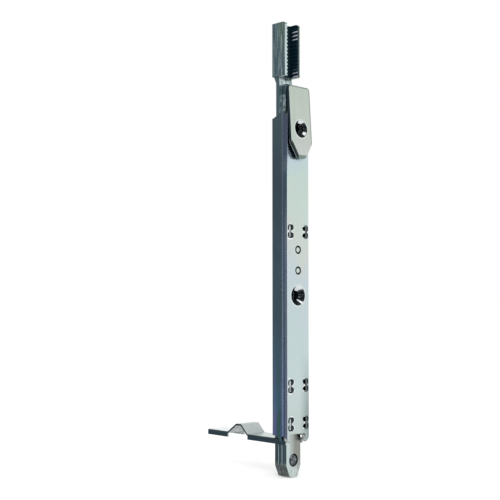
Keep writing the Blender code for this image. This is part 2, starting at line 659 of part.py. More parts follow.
def make_bar_rivet(name, kind, height):
    """One rivet of the bar, its two heads sunk below the bar's faces."""
    sink, back_face = kind[-2:]
    front = BAR_FRONT + sink
    back = back_face - sink
    head, *steps, _ = rivet_profile(kind, 0.0, front, back)
    radius = head[0]
    mesh = bmesh.new()
    add_turned(mesh, (
        (radius - RIVET_EDGE, front), (radius, front + RIVET_EDGE), *steps,
        (radius, back - RIVET_EDGE), (radius - RIVET_EDGE, back),
    ), 0.0, height)
    rivet = new_object(name, mesh, (0.0, 0.0, height))
    finish(rivet, RIVET_STEEL, round_piece=True)


def tooth_outline():
    """The gap between the connector's walls, seen from the front, with its teeth."""
    valley = CONNECTOR_WIDTH / 2 - CONNECTOR_WALL
    crest = valley - TOOTH_HEIGHT
    low = CONNECTOR_BOTTOM - TOOTH_PITCH
    count = int((CONNECTOR_TOP - low) / TOOTH_PITCH) + 2
    right = []
    for index in range(count):
        height = low + index * TOOTH_PITCH
        right.append(Vector((crest, height)))
        right.append(Vector((valley, height + TOOTH_PITCH / 2)))
    left = [Vector((-point.x, point.y)) for point in reversed(right)]
    return right + left


def make_connector():
    """The toothed channel that grips the drive rail, and its tongue behind the bar."""
    half = CONNECTOR_WIDTH / 2
    back = CONNECTOR_BACK
    base_front = back - CONNECTOR_BASE
    side_view = rounded((
        (CONNECTOR_FRONT, CONNECTOR_BOTTOM, 0), (back, CONNECTOR_BOTTOM, 0),
        (back, CONNECTOR_TOP, 0), (CONNECTOR_FRONT, CONNECTOR_TOP, CONNECTOR_CORNER_RADIUS),
    ))
    connector = prism_object("toothed_connector", side_view, "x", -half, half)
    gap = bmesh.new()
    add_prism(gap, tooth_outline(), "y", CONNECTOR_FRONT - CUT_MARGIN, base_front)
    combine(connector, gap, "DIFFERENCE")

    tongue = bmesh.new()
    bend = CONNECTOR_BOTTOM - JOGGLE_LEAD
    tongue_view = sharp((
        (REAR_PLATE_FRONT, TONGUE_BOTTOM), (TONGUE_BACK, TONGUE_BOTTOM),
        (TONGUE_BACK, bend - JOGGLE_HEIGHT / 2), (back - SEAT_GAP, CONNECTOR_BOTTOM + SEAT_GAP),
        (back - SEAT_GAP, CONNECTOR_BOTTOM + JOGGLE_HEIGHT),
        (base_front + SEAT_GAP, CONNECTOR_BOTTOM + JOGGLE_HEIGHT), (REAR_PLATE_FRONT, bend),
    ))
    add_prism(tongue, tongue_view, "x", -TONGUE_HALF, TONGUE_HALF)
    combine(connector, tongue, "UNION")

    holes = bmesh.new()
    for height in (CONNECTOR_RIVET_LOWER_HEIGHT, CONNECTOR_RIVET_UPPER_HEIGHT):
        add_rivet_hole(holes, CONNECTOR_RIVET, height)
    combine(connector, holes, "DIFFERENCE")
    finish(connector, ZINC_DARK)


def flanged_section():
    """The bracket's cross-section, a shallow channel open below."""
    inner = CHANNEL_HALF - BRACKET_SHEET
    return rounded((
        (-CHANNEL_HALF, 0, BRACKET_BEND_RADIUS), (-CHANNEL_HALF, -BRACKET_FLANGE_HEIGHT, 0),
        (-inner, -BRACKET_FLANGE_HEIGHT, 0), (-inner, -BRACKET_SHEET, 0),
        (inner, -BRACKET_SHEET, 0), (inner, -BRACKET_FLANGE_HEIGHT, 0),
        (CHANNEL_HALF, -BRACKET_FLANGE_HEIGHT, 0), (CHANNEL_HALF, 0, BRACKET_BEND_RADIUS),
    ))


def bend_shift(run):
    """How far the sheet's underside corners shift at a bend of a slope of the hump."""
    return BRACKET_SHEET * math.tan(math.atan2(HUMP_RISE, run) / 2)


def hump_side_view():
    """The sheet between the two flanged stretches, raised into a flat topped hump."""
    near = bend_shift(HUMP_NEAR_RUN)
    far = bend_shift(HUMP_FAR_RUN)
    inner_radius = max(HUMP_BEND_RADIUS - BRACKET_SHEET, 0.0)
    start = HUMP_NEAR_FOOT - HUMP_BEND_RADIUS
    end = HUMP_FAR_FOOT + HUMP_BEND_RADIUS
    underside = HUMP_RISE - BRACKET_SHEET
    return rounded((
        (start, 0, 0), (HUMP_NEAR_FOOT, 0, inner_radius),
        (HUMP_NEAR_TOP, HUMP_RISE, HUMP_BEND_RADIUS), (HUMP_FAR_TOP, HUMP_RISE, HUMP_BEND_RADIUS),
        (HUMP_FAR_FOOT, 0, inner_radius), (end, 0, 0), (end, -BRACKET_SHEET, 0),
        (HUMP_FAR_FOOT - far, -BRACKET_SHEET, HUMP_BEND_RADIUS),
        (HUMP_FAR_TOP - far, underside, inner_radius),
        (HUMP_NEAR_TOP + near, underside, inner_radius),
        (HUMP_NEAR_FOOT + near, -BRACKET_SHEET, HUMP_BEND_RADIUS), (start, -BRACKET_SHEET, 0),
    ))


def make_end_bracket():
    """The strip below the channel, forked round the bolt and humped behind it."""
    section = flanged_section()
    bracket = prism_object("end_bracket", section, "y", BRACKET_FRONT, HUMP_NEAR_FOOT)
    rest = bmesh.new()
    add_prism(rest, hump_side_view(), "x", -CHANNEL_HALF, CHANNEL_HALF)
    combine(bracket, rest, "UNION")
    far = bmesh.new()
    add_prism(far, section, "y", HUMP_FAR_FOOT, BRACKET_BACK)
    combine(bracket, far, "UNION")

    cuts = bmesh.new()
    bolt_half = BAR_HALF + SLIDE_GAP
    fork = rectangle(-bolt_half, BRACKET_FRONT - CUT_MARGIN, bolt_half, BAR_BACK + SLIDE_GAP)
    add_prism(cuts, fork, "z", -BRACKET_SHEET - CUT_MARGIN, CUT_MARGIN)
    combine(bracket, cuts, "DIFFERENCE")
    mortises = bmesh.new()
    half_mortise = TENON_WIDTH / 2 + SEAT_GAP
    low = TENON_CENTRE_DEPTH - half_mortise
    high = TENON_CENTRE_DEPTH + half_mortise
    for side in (-1, 1):
        near_x = side * (CHANNEL_INNER_HALF - CUT_MARGIN)
        far_x = side * (CHANNEL_HALF + CUT_MARGIN)
        outline = rectangle(low, -TENON_REACH - SEAT_GAP, high, CUT_MARGIN)
        add_prism(mortises, outline, "x", min(near_x, far_x), max(near_x, far_x))
    combine(bracket, mortises, "DIFFERENCE")
    finish(bracket, ZINC_DARK)


def make_empty(name, location):
    """An empty that carries other objects."""
    empty = bpy.data.objects.new(name, None)
    empty.location = location
    bpy.context.scene.collection.objects.link(empty)
    return empty


def hang_on(parent, items):
    """Parent objects to an empty and keep them where they are."""
    bpy.context.view_layer.update()
    back = parent.matrix_world.inverted()
    for item in items:
        item.parent = parent
        item.matrix_parent_inverse = back


def make_fixed_pieces():
    """Everything that is fastened to the door."""
    make_faceplate()
    make_cover_plate()
    make_channel()
    make_end_bracket()
    make_stop_block()
    for name, height in CASE_RIVETS:
        make_case_rivet(name, height)


def make_sliding_pieces():
    """The laminated bolt bar with its rivets and its toothed connector."""
    radius = BAR_CORNER_RADIUS
    make_bar_plate("bolt_plate_front", BAR_FRONT, FRONT_PLATE_BACK, BAR_TOP, radius, ZINC_PALE)
    make_bar_plate(
        "bolt_plate_middle", MIDDLE_PLATE_FRONT, MIDDLE_PLATE_BACK, BAR_TOP, radius, ZINC_DARK)
    make_bar_plate("bolt_plate_rear", REAR_PLATE_FRONT, BAR_BACK, REAR_PLATE_TOP, 0.0, ZINC_DARK)
    make_connector()
    for name, kind, height in BAR_RIVETS:
        make_bar_rivet(name, kind, height)


def main():
    remove_everything()
    make_fixed_pieces()
    fixed = list(bpy.data.objects)
    make_sliding_pieces()
    sliding = [item for item in bpy.data.objects if item not in fixed]

    # The slide runs up the middle of the bar. The frame empty then moves the whole lock.
    slide = make_empty("bolt_slide", (0.0, (BAR_FRONT + BAR_BACK) / 2, 0.0))
    hang_on(slide, sliding)
    frame = make_empty("shootbolt_frame", (0.0, -CHANNEL_BACK, -SEAT_HEIGHT))
    for item in fixed + [slide]:
        item.parent = frame


main()
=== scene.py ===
"""Looks for the shootbolt: zinc plated steel on a white studio floor.

Everything is in metres in the frame of the CAD model: X runs across the faceplate, the
faceplate looks towards -Y, the back of the guide channel is at Y 0, and Z is up. A colour
is red, green and blue light. A pair of places or levels is the two ends of a soft edge or
the two borders of a band, and a pair of tones is what a mask goes between.
"""
import math

import bmesh
import bpy
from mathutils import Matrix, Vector


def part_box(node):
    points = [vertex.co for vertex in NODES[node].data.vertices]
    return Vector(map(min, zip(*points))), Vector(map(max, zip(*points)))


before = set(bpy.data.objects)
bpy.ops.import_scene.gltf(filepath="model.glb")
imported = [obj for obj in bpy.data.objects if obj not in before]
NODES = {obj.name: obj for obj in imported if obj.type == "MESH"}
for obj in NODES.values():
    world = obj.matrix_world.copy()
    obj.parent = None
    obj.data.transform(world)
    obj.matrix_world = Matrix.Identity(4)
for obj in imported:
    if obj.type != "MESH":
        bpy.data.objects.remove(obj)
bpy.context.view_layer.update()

# Camera, from the calibration of the photograph
CAMERA_PLACE = (-0.3650, -0.3498, 0.02043)
CAMERA_YAW = math.radians(44.50)
CAMERA_PITCH = math.radians(2.59)
CAMERA_LENS = 72.19
CAMERA_SENSOR = 36.0
CAMERA_CLIP = 0.01

# Landmarks of the part, read from the frame, and the floor just under it
FLOOR_GAP = 0.0003
FLOOR_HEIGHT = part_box("bolt_plate_front")[0][2] - FLOOR_GAP
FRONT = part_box("faceplate")[0][1]
FACEPLATE_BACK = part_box("faceplate")[1][1]
FACEPLATE_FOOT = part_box("faceplate")[0][2]
FACEPLATE_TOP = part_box("faceplate")[1][2]
FACEPLATE_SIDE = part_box("faceplate")[0][0]
CASE_RIVET_HEIGHT = sum(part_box("case_rivet_lower")[k][2] for k in (0, 1)) / 2
CASE_RIVET_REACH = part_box("case_rivet_lower")[1][0]
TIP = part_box("bolt_plate_front")[0][2]
MIDDLE_PLATE_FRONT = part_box("bolt_plate_middle")[0][1]
REAR_PLATE_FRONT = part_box("bolt_plate_rear")[0][1]
CHANNEL_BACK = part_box("guide_channel")[1][1]
CHANNEL_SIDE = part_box("guide_channel")[0][0]
CHANNEL_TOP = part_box("guide_channel")[1][2]
CHANNEL_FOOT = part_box("guide_channel")[0][2]
COVER_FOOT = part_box("cover_plate")[0][2]
COVER_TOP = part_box("cover_plate")[1][2]
COVER_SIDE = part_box("cover_plate")[0][0]
COVER_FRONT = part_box("cover_plate")[0][1]
CONNECTOR_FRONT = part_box("toothed_connector")[0][1]
CONNECTOR_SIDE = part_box("toothed_connector")[0][0]
CONNECTOR_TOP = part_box("toothed_connector")[1][2]
BRACKET_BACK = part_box("end_bracket")[1][1]

# Places that the boxes don't give, from the same sizes as the CAD model
SCREW_UNDER_RIVET = 0.0124
SCREW_UNDER_TOP = 0.0071
LUG_OVER_RIVET = 0.0090
CASE_RIVET_SPACING = 0.0103
UPPER_RIVET_HEIGHT = CASE_RIVET_HEIGHT + CASE_RIVET_SPACING
LOWER_SCREW_HEIGHT = CASE_RIVET_HEIGHT - SCREW_UNDER_RIVET
UPPER_SCREW_HEIGHT = FACEPLATE_TOP - SCREW_UNDER_TOP
COVER_THICKNESS = 0.0015
COVER_TILT = math.radians(3.6)
COUNTERSINK_RADIUS = 0.0050
COVER_COUNTERSINK_RADIUS = 0.0045
CONNECTOR_LENGTH = 0.0272
CONNECTOR_FOOT = CONNECTOR_TOP - CONNECTOR_LENGTH
TOOTH_PITCH = 0.0019
LUG_SLOT_HEIGHTS = (-0.0425, -0.0240, UPPER_RIVET_HEIGHT + LUG_OVER_RIVET)
LUG_LOBE_PLACE = (0.0058, 0.00195)
LUG_LOBE_HALF = (0.0021, 0.00145)
SLOT_HALF = 0.0040

# Studio light
FLOOR_SPAN = 24.0
FLOOR_LIFT = 0.20
FLOOR_GREY = (0.93, 0.93, 0.93)
FLOOR_ROUGHNESS = 0.9
AMBIENT = 0.9
BACKDROP = 1.0
KEY_PLACE = (-0.75, -0.85, 0.95)
KEY_TARGET = (0.0, 0.0, 0.05)
KEY_SIZE = (0.5, 0.5)
KEY_POWER = 6.0
BLACK = (0.0, 0.0, 0.0)
WHITE = (1.0, 1.0, 1.0)

# What the metal mirrors, as (share of a turn, colour). The turn starts at -X and goes by
# -Y (0.25), +X (0.5) and +Y (0.75) back to -X.
TENT_RADIUS = 3.0
TENT_DARK = (0.030, 0.045, 0.055)
TENT_SLATE = (0.105, 0.145, 0.205)
TENT_DUSK = (0.20, 0.26, 0.30)
TENT_HAZE = (0.21, 0.28, 0.33)
TENT_FLOOR = (0.60, 0.65, 0.66)
TENT_CLOTH = (1.00, 1.02, 1.02)
TENT_SIDE = (1.20, 1.27, 1.34)
TENT_LAMP = (1.5, 1.5, 1.5)
TENT_LEVEL = (
    (0.00, TENT_SLATE), (0.08, TENT_DARK), (0.155, TENT_DARK), (0.18, TENT_SIDE),
    (0.27, TENT_SIDE), (0.31, (0.92, 0.95, 0.95)), (0.45, (0.97, 0.98, 0.97)),
    (0.56, TENT_CLOTH), (0.68, TENT_CLOTH), (0.76, TENT_DUSK),
    (0.80, TENT_SLATE), (1.00, TENT_SLATE),
)
TENT_HIGH = (
    (0.00, TENT_HAZE), (0.08, TENT_DARK), (0.155, TENT_DARK), (0.18, TENT_SIDE),
    (0.27, TENT_SIDE), (0.31, (0.88, 0.92, 0.88)), (0.45, (0.92, 0.94, 0.91)),
    (0.56, TENT_CLOTH), (0.68, TENT_CLOTH), (0.80, TENT_HAZE), (1.00, TENT_HAZE),
)
TENT_ABOVE = (
    (0.00, TENT_DARK), (0.10, TENT_DARK), (0.12, TENT_LAMP), (0.15, TENT_LAMP),
    (0.17, TENT_DARK), (0.40, TENT_DARK), (0.52, (0.75, 0.80, 0.80)), (0.66, (0.60, 0.66, 0.66)),
    (0.78, TENT_DARK), (1.00, TENT_DARK),
)
TENT_BELOW = (
    (0.00, TENT_DARK), (0.10, TENT_DARK), (0.12, TENT_LAMP), (0.15, TENT_LAMP),
    (0.17, TENT_FLOOR), (0.44, TENT_FLOOR), (0.47, WHITE), (0.52, WHITE),
    (0.56, TENT_FLOOR), (0.72, TENT_FLOOR), (0.80, TENT_DARK), (1.00, TENT_DARK),
)

# Where one ring of the tent gives way to the next, from 0 straight down to 1 straight up
TENT_HIGH_FROM = (0.53, 0.58)
TENT_ABOVE_FROM = (0.62, 0.66)
TENT_BELOW_FROM = (0.40, 0.36)

# How squarely a face looks along an axis, from the cosine that counts as not at all to the
# one that counts in full
SQUARE = (0.55, 0.80)
LEANING = (0.30, 0.50)
SLIGHT = (0.20, 0.40)

# Soft borders between the left and right halves of the part
TO_LEFT = (0.0, -0.001)
TO_RIGHT = (0.0, 0.001)
LEFT_HALF = (0.001, -0.001)

# Levels of a noise: nearly all of it lies in the first pair, and the second parts it evenly
NOISE_SPREAD = (0.3, 0.7)
EVEN_SPLIT = (0.42, 0.58)

# Half widths of the soft borders of painted areas
HAIR = 0.0001
NARROW = 0.0002
SOFT = 0.0003
BROAD = 0.001

# Rays for each measure of a cavity, and how far slow noise moves a place
CAVITY_SAMPLES = 6
WAVER = 0.07


class Graph:
    """Short calls for building one material's nodes, where masks run from zero to one."""

    def __init__(self, name):
        self.material = bpy.data.materials.new(name)
        self.material.use_nodes = True
        self.tree = self.material.node_tree
        self.shader = self.tree.nodes["Principled BSDF"]
        place = self.tree.nodes.new("ShaderNodeTexCoord")
        self.coords = place.outputs["Object"]
        self.normal = place.outputs["Normal"]
        self.matt = None
        self.sheenless = None

    def link(self, source, target):
        self.tree.links.new(source, target)

    def fill(self, socket, value):
        """Feed a socket from another node, or set it to a number or a colour."""
        if isinstance(value, bpy.types.NodeSocket):
            self.link(value, socket)
        elif isinstance(value, tuple):
            socket.default_value = (*value, 1.0)
        else:
            socket.default_value = value

    def stretched(self, scale):
        """The place on the object, scaled alike or by its own amount along each axis."""
        mapping = self.tree.nodes.new("ShaderNodeMapping")
        mapping.inputs["Scale"].default_value = scale if isinstance(scale, tuple) else (scale,) * 3
        self.link(self.coords, mapping.inputs["Vector"])
        return mapping.outputs["Vector"]

    def noise_at(self, vector, detail=3.0, rough=0.55, distortion=0.0):
        node = self.tree.nodes.new("ShaderNodeTexNoise")
        node.inputs["Scale"].default_value = 1.0
        node.inputs["Detail"].default_value = detail
        node.inputs["Roughness"].default_value = rough
        node.inputs["Distortion"].default_value = distortion
        self.link(vector, node.inputs["Vector"])
        return node.outputs["Fac"]

    def noise(self, scale, detail=3.0, rough=0.55, distortion=0.0):
        return self.noise_at(self.stretched(scale), detail, rough, distortion)

    def patches(self, scale, split, detail=2.0, rough=0.55, distortion=0.0):
        """Noise split into patches of zero and one with soft borders."""
        return self.scale_range(self.noise(scale, detail, rough, distortion), *split)

    def ramp(self, value, stops):
        node = self.tree.nodes.new("ShaderNodeValToRGB")
        elements = node.color_ramp.elements
        while len(elements) < len(stops):
            elements.new(0.5)
        for element, (place, colour) in zip(elements, stops):
            element.position = place
            if isinstance(colour, (int, float)):
                colour = (colour, colour, colour)
            element.color = (*colour, 1.0)
        self.link(value, node.inputs["Fac"])
        return node.outputs["Color"]

    def math(self, operation, first, second=0.0):
        node = self.tree.nodes.new("ShaderNodeMath")
        node.operation = operation
        self.fill(node.inputs[0], first)
        self.fill(node.inputs[1], second)
        return node.outputs[0]

    def plus(self, first, second):
        return self.math("ADD", first, second)

    def minus(self, first, second):
        return self.math("SUBTRACT", first, second)

    def over(self, first, second):
        return self.math("DIVIDE", first, second)

    def size_of(self, value):
        return self.math("ABSOLUTE", value)

    def lesser(self, first, second):
        return self.math("MINIMUM", first, second)

    def either(self, first, second):
        return self.math("MAXIMUM", first, second)

    def outside_of(self, where):
        return self.minus(1.0, where)

    def times(self, *values):
        product = values[0]
        for value in values[1:]:
            product = self.math("MULTIPLY", product, value)
        return product

    def scale_range(self, value, low, high, out_low=0.0, out_high=1.0):
        node = self.tree.nodes.new("ShaderNodeMapRange")
        self.fill(node.inputs["Value"], value)
        node.inputs["From Min"].default_value = low
        node.inputs["From Max"].default_value = high
        node.inputs["To Min"].default_value = out_low
        node.inputs["To Max"].default_value = out_high
        return node.outputs["Result"]

    def mix(self, amount, first, second, blend="MIX"):
        node = self.tree.nodes.new("ShaderNodeMix")
        node.data_type = "RGBA"
        node.blend_type = blend
        self.fill(node.inputs["Factor"], amount)
        self.fill(node.inputs[6], first)
        self.fill(node.inputs[7], second)
        return node.outputs[2]

    def part_of(self, vector, name):
        node = self.tree.nodes.new("ShaderNodeSeparateXYZ")
        self.link(vector, node.inputs[0])
        return node.outputs[name]

    def axis(self, name):
        return self.part_of(self.coords, name)

    def facing(self, name, sign, lean=SQUARE):
        """One on faces that look along an axis, and zero on the others."""
        return self.scale_range(self.part_of(self.normal, name), sign * lean[0], sign * lean[1])

    def slope(self, name, low, high):
        """Rises from zero to one between two places along an axis, in either direction."""
        return self.scale_range(self.axis(name), low, high)

    def past(self, name, place, edge):
        """One past a place along an axis, and zero before it."""
        return self.slope(name, place - edge, place + edge)

    def before(self, name, place, edge):
        """One before a place along an axis, and zero past it."""
        return self.slope(name, place + edge, place - edge)

    def within(self, value, low, high, edge):
        """One between two values and zero outside them."""
        rising = self.scale_range(value, low - edge, low + edge)
        falling = self.scale_range(value, high + edge, high - edge)
        return self.times(rising, falling)

    def band(self, name, low, high, edge):
        """One between two places along an axis and zero outside them."""
        return self.within(self.axis(name), low, high, edge)

    def wavering(self, place, scale, distortion=0.0):
        """A place moved to and fro a little by slow noise."""
        drift = self.noise(scale, detail=1.0, distortion=distortion)
        return self.plus(place, self.scale_range(drift, *NOISE_SPREAD, -WAVER, WAVER))

    def round_hole(self, height):
        """Distance from an axis along Y at X zero, and the angle round it from +X."""
        across = self.axis("X")
        rise = self.minus(self.axis("Z"), height)
        square = self.plus(self.times(rise, rise), self.times(across, across))
        return self.math("SQRT", square), self.math("ARCTAN2", rise, across)

    def coat(self, colour, where, tone, matt=0.0):
        """Another colour over part of the surface, which may be duller metal there."""
        if matt:
            dull = self.times(where, matt)
            self.matt = dull if self.matt is None else self.either(self.matt, dull)
        return self.mix(where, colour, tone)

    def deaden(self, where):
        """No mirrored light at all in a deep place."""
        self.sheenless = where if self.sheenless is None else self.either(self.sheenless, where)

    def tinge(self, colour, where, factor):
        """The colour multiplied by another over part of the surface."""
        return self.mix(where, colour, factor, "MULTIPLY")

    def cavity(self, reach):
        """Near zero in corners and gaps that are narrower than a reach, and one in the open."""
        node = self.tree.nodes.new("ShaderNodeAmbientOcclusion")
        node.samples = CAVITY_SAMPLES
        node.inputs["Distance"].default_value = reach
        return node.outputs["AO"]

    def bump(self, height, strength, depth, after):
        node = self.tree.nodes.new("ShaderNodeBump")
        node.inputs["Strength"].default_value = strength
        node.inputs["Distance"].default_value = depth
        self.link(height, node.inputs["Height"])
        if after is not None:
            self.link(after, node.inputs["Normal"])
        return node.outputs["Normal"]


# Plated steel: how fine its noises are, in cycles per metre across and along the rolling
STREAKS = (520.0, 520.0, 9.0)
GRAIN = (2600.0, 2600.0, 60.0)
CLOUDS = (140.0, 140.0, 60.0)
TINTS = (90.0, 90.0, 32.0)
SPOTS = (900.0, 900.0, 500.0)

# How much the noises show, as (strength, depth) where they are bumps, and the colours that
# every piece may have
SPOT_STOPS = ((0.62, 0.0), (0.76, 1.0))
SPOT_SHARE = 0.30
SPOT_DARKNESS = 0.55
TONE_SPLIT = (0.35, 0.65)
# Painted shade: the colour that darkens corners and gaps, how far it looks for them, and how it fades
CAVITY_SHADE = (0.015, 0.025, 0.030)
CAVITY_SHADE_REACH = 0.0016
CAVITY_SHADE_STOPS = ((0.0, 1.0), (0.62, 0.0))
PLAIN_SPECULAR = 0.5
GRAIN_BUMP = (0.15, 0.00001)
STREAK_BUMP = (0.20, 0.00002)
CLOUD_BUMP = (0.20, 0.00005)
# Near black for painted shade and painted dark reflections, and the colour of painted highlights
NEAR_BLACK = (0.009, 0.012, 0.015)
GLINT = (0.86, 0.90, 0.90)
PASTEL = ((0.25, (0.56, 0.66, 0.78)), (0.42, (0.62, 0.73, 0.71)), (0.52, (0.62, 0.74, 0.65)),
          (0.62, (0.68, 0.70, 0.68)), (0.75, (0.60, 0.72, 0.69)))


def zinc(name, light, dark, film=0.15, roughness=(0.18, 0.34), along="z", cavity=0.85,
         grain_depth=1.0, streaky=0.5, paint=None):
    """Zinc plated steel: rolling streaks, cloudy plating, a thin colour film, painted shade in recesses.
    """
    g = Graph(name)
    order = (0, 2, 1) if along == "y" else (0, 1, 2)
    streaks = g.noise(tuple(STREAKS[k] for k in order), detail=4.0)
    grain = g.noise(tuple(GRAIN[k] for k in order))
    clouds = g.noise(CLOUDS, detail=5.0, rough=0.6, distortion=0.6)
    tone = g.plus(g.times(streaks, streaky), g.times(clouds, 1.0 - streaky))
    colour = g.mix(g.scale_range(tone, *TONE_SPLIT), dark, light)
    tint = g.ramp(g.noise(TINTS, detail=1.0, distortion=0.6), PASTEL)
    colour = g.mix(film, colour, tint)
    spots = g.ramp(g.noise(SPOTS, detail=6.0, rough=0.7), SPOT_STOPS)
    colour = g.mix(g.times(spots, SPOT_SHARE), colour, tuple(SPOT_DARKNESS * c for c in dark))
    if paint is not None:
        colour = paint(g, colour)
    # Painted shade: corners and gaps are mixed towards a dark colour, as much as cavity says
    shade = g.ramp(g.cavity(CAVITY_SHADE_REACH), CAVITY_SHADE_STOPS)
    colour = g.mix(g.times(shade, cavity), colour, CAVITY_SHADE)
    g.link(colour, g.shader.inputs["Base Color"])
    if g.matt is None:
        g.shader.inputs["Metallic"].default_value = 1.0
    else:
        g.link(g.outside_of(g.matt), g.shader.inputs["Metallic"])
    if g.sheenless is not None:
        sheen = g.scale_range(g.sheenless, 0.0, 1.0, PLAIN_SPECULAR, 0.0)
        g.link(sheen, g.shader.inputs["Specular IOR Level"])
    mottle = g.plus(g.times(grain, 0.5), g.times(clouds, 0.5))
    g.link(g.scale_range(mottle, *NOISE_SPREAD, *roughness), g.shader.inputs["Roughness"])
    normal = None
    for height, (strength, depth) in ((grain, GRAIN_BUMP), (streaks, STREAK_BUMP), (clouds, CLOUD_BUMP)):
        normal = g.bump(height, strength * grain_depth, depth, normal)
    g.link(normal, g.shader.inputs["Normal"])
    return g.material


# How the edges of the solids are softened
WELD_GAP = 0.000001
FLAT_ANGLE = math.radians(0.5)
EDGE_ANGLE = math.radians(32)
BEVEL_SEGMENTS = 2
NORMAL_WEIGHT = 80


def dress(node, material, bevel=0.00015, crisp=False):
    """Give a CAD node its material and softly broken edges, or crisp ones."""
    o = NODES[node]
    o.data.materials.clear()
    o.data.materials.append(material)
    weld = o.modifiers.new("Weld", "WELD")
    weld.merge_threshold = WELD_GAP
    flat = o.modifiers.new("Flat", "DECIMATE")
    flat.decimate_type = "DISSOLVE"
    flat.angle_limit = FLAT_ANGLE
    if bevel:
        edges = o.modifiers.new("Edges", "BEVEL")
        edges.width = bevel
        edges.segments = BEVEL_SEGMENTS
        edges.limit_method = "ANGLE"
        edges.angle_limit = EDGE_ANGLE
        edges.harden_normals = True
        edges.miter_outer = "MITER_ARC"
    if crisp:
        split = o.modifiers.new("Crisp", "EDGE_SPLIT")
        split.split_angle = EDGE_ANGLE
    o.data.shade_smooth()
    normals = o.modifiers.new("Normals", "WEIGHTED_NORMAL")
    normals.keep_sharp = False
    normals.weight = NORMAL_WEIGHT


# Countersinks: a painted highlight on the rim, a cone painted near black as a painted dark
# reflection with faint rays in it, and painted reflections of light wedges. Each wedge has
# its middle and half width in degrees, and where it starts and ends.
RIM_WIDTH = 0.0005
RIM_SHARE = 0.75
CONE_LEAN = (0.97, 0.85)
RAYS_ROUND = 5.0
RAYS_OUT = 260.0
RAY_SPLIT = (0.52, 0.66)
RAY_SIDE = (-0.0005, 0.0015)
RAY_TONE = (0.20, 0.24, 0.24)
WEDGE_NECK = 0.4
WEDGE_BLUR = 0.35
WEDGE_SIDE = (-0.0026, -0.0010)
WEDGE_BLUE = (0.24, 0.27, 0.32)
WEDGE_MATT = 0.75
LOWER_WEDGES = ((80, 50, 0.0020, 0.0056), (-50, 11, 0.0014, 0.0050))
UPPER_WEDGES = ((84, 44, 0.0028, 0.0050), (-32, 18, 0.0012, 0.0042), (16, 26, 0.0010, 0.0028))


def countersink_paint(g, colour, height, radius, wedges):
    """A painted highlight on the rim, a painted dark reflection in the cone, painted light wedges."""
    away, turn = g.round_hole(height)
    rim = g.within(away, radius, radius + RIM_WIDTH, HAIR)
    # A painted highlight on the rim
    colour = g.coat(colour, g.times(rim, g.facing("Y", -1), RIM_SHARE), GLINT)
    # The cone painted near black, a painted dark reflection
    cone = g.times(g.scale_range(away, radius + HAIR, radius - NARROW), g.facing("Y", -1, CONE_LEAN))
    polar = g.tree.nodes.new("ShaderNodeCombineXYZ")
    g.link(g.times(turn, RAYS_ROUND), polar.inputs["X"])
    g.link(g.times(away, RAYS_OUT), polar.inputs["Y"])
    rays = g.noise_at(polar.outputs[0], rough=0.5)
    rays = g.times(g.scale_range(rays, *RAY_SPLIT), g.slope("X", *RAY_SIDE))
    colour = g.coat(colour, cone, g.mix(rays, NEAR_BLACK, RAY_TONE), matt=1.0)
    g.deaden(cone)
    # Painted reflections of light wedges in the cone
    for middle, half, near, far in wedges:
        swing = g.size_of(g.minus(turn, math.radians(middle)))
        spread = g.scale_range(away, near, far, math.radians(half * WEDGE_NECK), math.radians(half))
        edge = g.minus(1.0, g.over(swing, spread))
        wedge = g.times(g.scale_range(edge, 0.0, WEDGE_BLUR), g.within(away, near, far, NARROW), cone)
        tone = g.mix(g.slope("X", *WEDGE_SIDE), WEDGE_BLUE, GLINT)
        colour = g.coat(colour, wedge, tone, matt=WEDGE_MATT)
    return colour


# Painted highlights on the staked metal round the lug slots. HALO and HALO_EDGE are in squared lobe
# sizes.
HALO = (0.9, 2.1)
HALO_EDGE = 0.15
HALO_HEIGHT = (0.0026, 0.0020)
HALO_WIDTH = 0.0074
HALO_HIGHLIGHT_TONE = (0.95, 0.97, 0.97)
DABS = (600.0, (0.46, 0.56))

# Start values for a search, more than any squared lobe size and any height on the part
FAR_AWAY = (9.0, 1.0)


def staked_highlights(g, colour):
    """Painted highlights in dabs round the two lobes of each lug slot, where the lugs were staked."""
    across = g.minus(g.size_of(g.axis("X")), LUG_LOBE_PLACE[0])
    across = g.math("POWER", g.over(g.size_of(across), LUG_LOBE_HALF[0]), 2.0)
    nearest, level = FAR_AWAY
    for height in LUG_SLOT_HEIGHTS:
        rise = g.size_of(g.minus(g.axis("Z"), height))
        level = g.lesser(rise, level)
        rise = g.size_of(g.minus(rise, LUG_LOBE_PLACE[1]))
        rise = g.math("POWER", g.over(rise, LUG_LOBE_HALF[1]), 2.0)
        nearest = g.lesser(g.plus(across, rise), nearest)
    dabs = g.patches(*DABS)
    where = g.either(g.slope("X", *LEFT_HALF), g.scale_range(level, *HALO_HEIGHT))
    # Painted highlights round the lobes
    halo = g.times(g.within(nearest, *HALO, HALO_EDGE), dabs, where, g.facing("Y", -1),
                   g.band("X", -HALO_WIDTH, HALO_WIDTH, NARROW))
    return g.coat(colour, halo, HALO_HIGHLIGHT_TONE, matt=0.6)


# Faceplate. The film's colours are (share of its height, colour).
FILM_ALONG_FACEPLATE = (
    (0.04, (0.55, 0.63, 0.62)), (0.15, (0.61, 0.70, 0.71)), (0.35, (0.57, 0.69, 0.71)),
    (0.48, (0.60, 0.68, 0.75)), (0.57, (0.67, 0.69, 0.66)), (0.70, (0.62, 0.73, 0.68)),
    (0.80, (0.61, 0.72, 0.68)), (0.88, (0.57, 0.68, 0.77)),
)
FILM_DRIFT = (60.0, 60.0, 22.0)
FILM_SHARE = 0.75
# Painted dark reflection over the lower right of the front
DARK_REFLECTION_ACROSS = (0.001, 0.007)
DARK_REFLECTION_DOWN = (FACEPLATE_FOOT + 0.045, FACEPLATE_FOOT + 0.015)
DARK_REFLECTION_SHARE = 0.80
DARK_REFLECTION_TONE = (0.27, 0.32, 0.32)
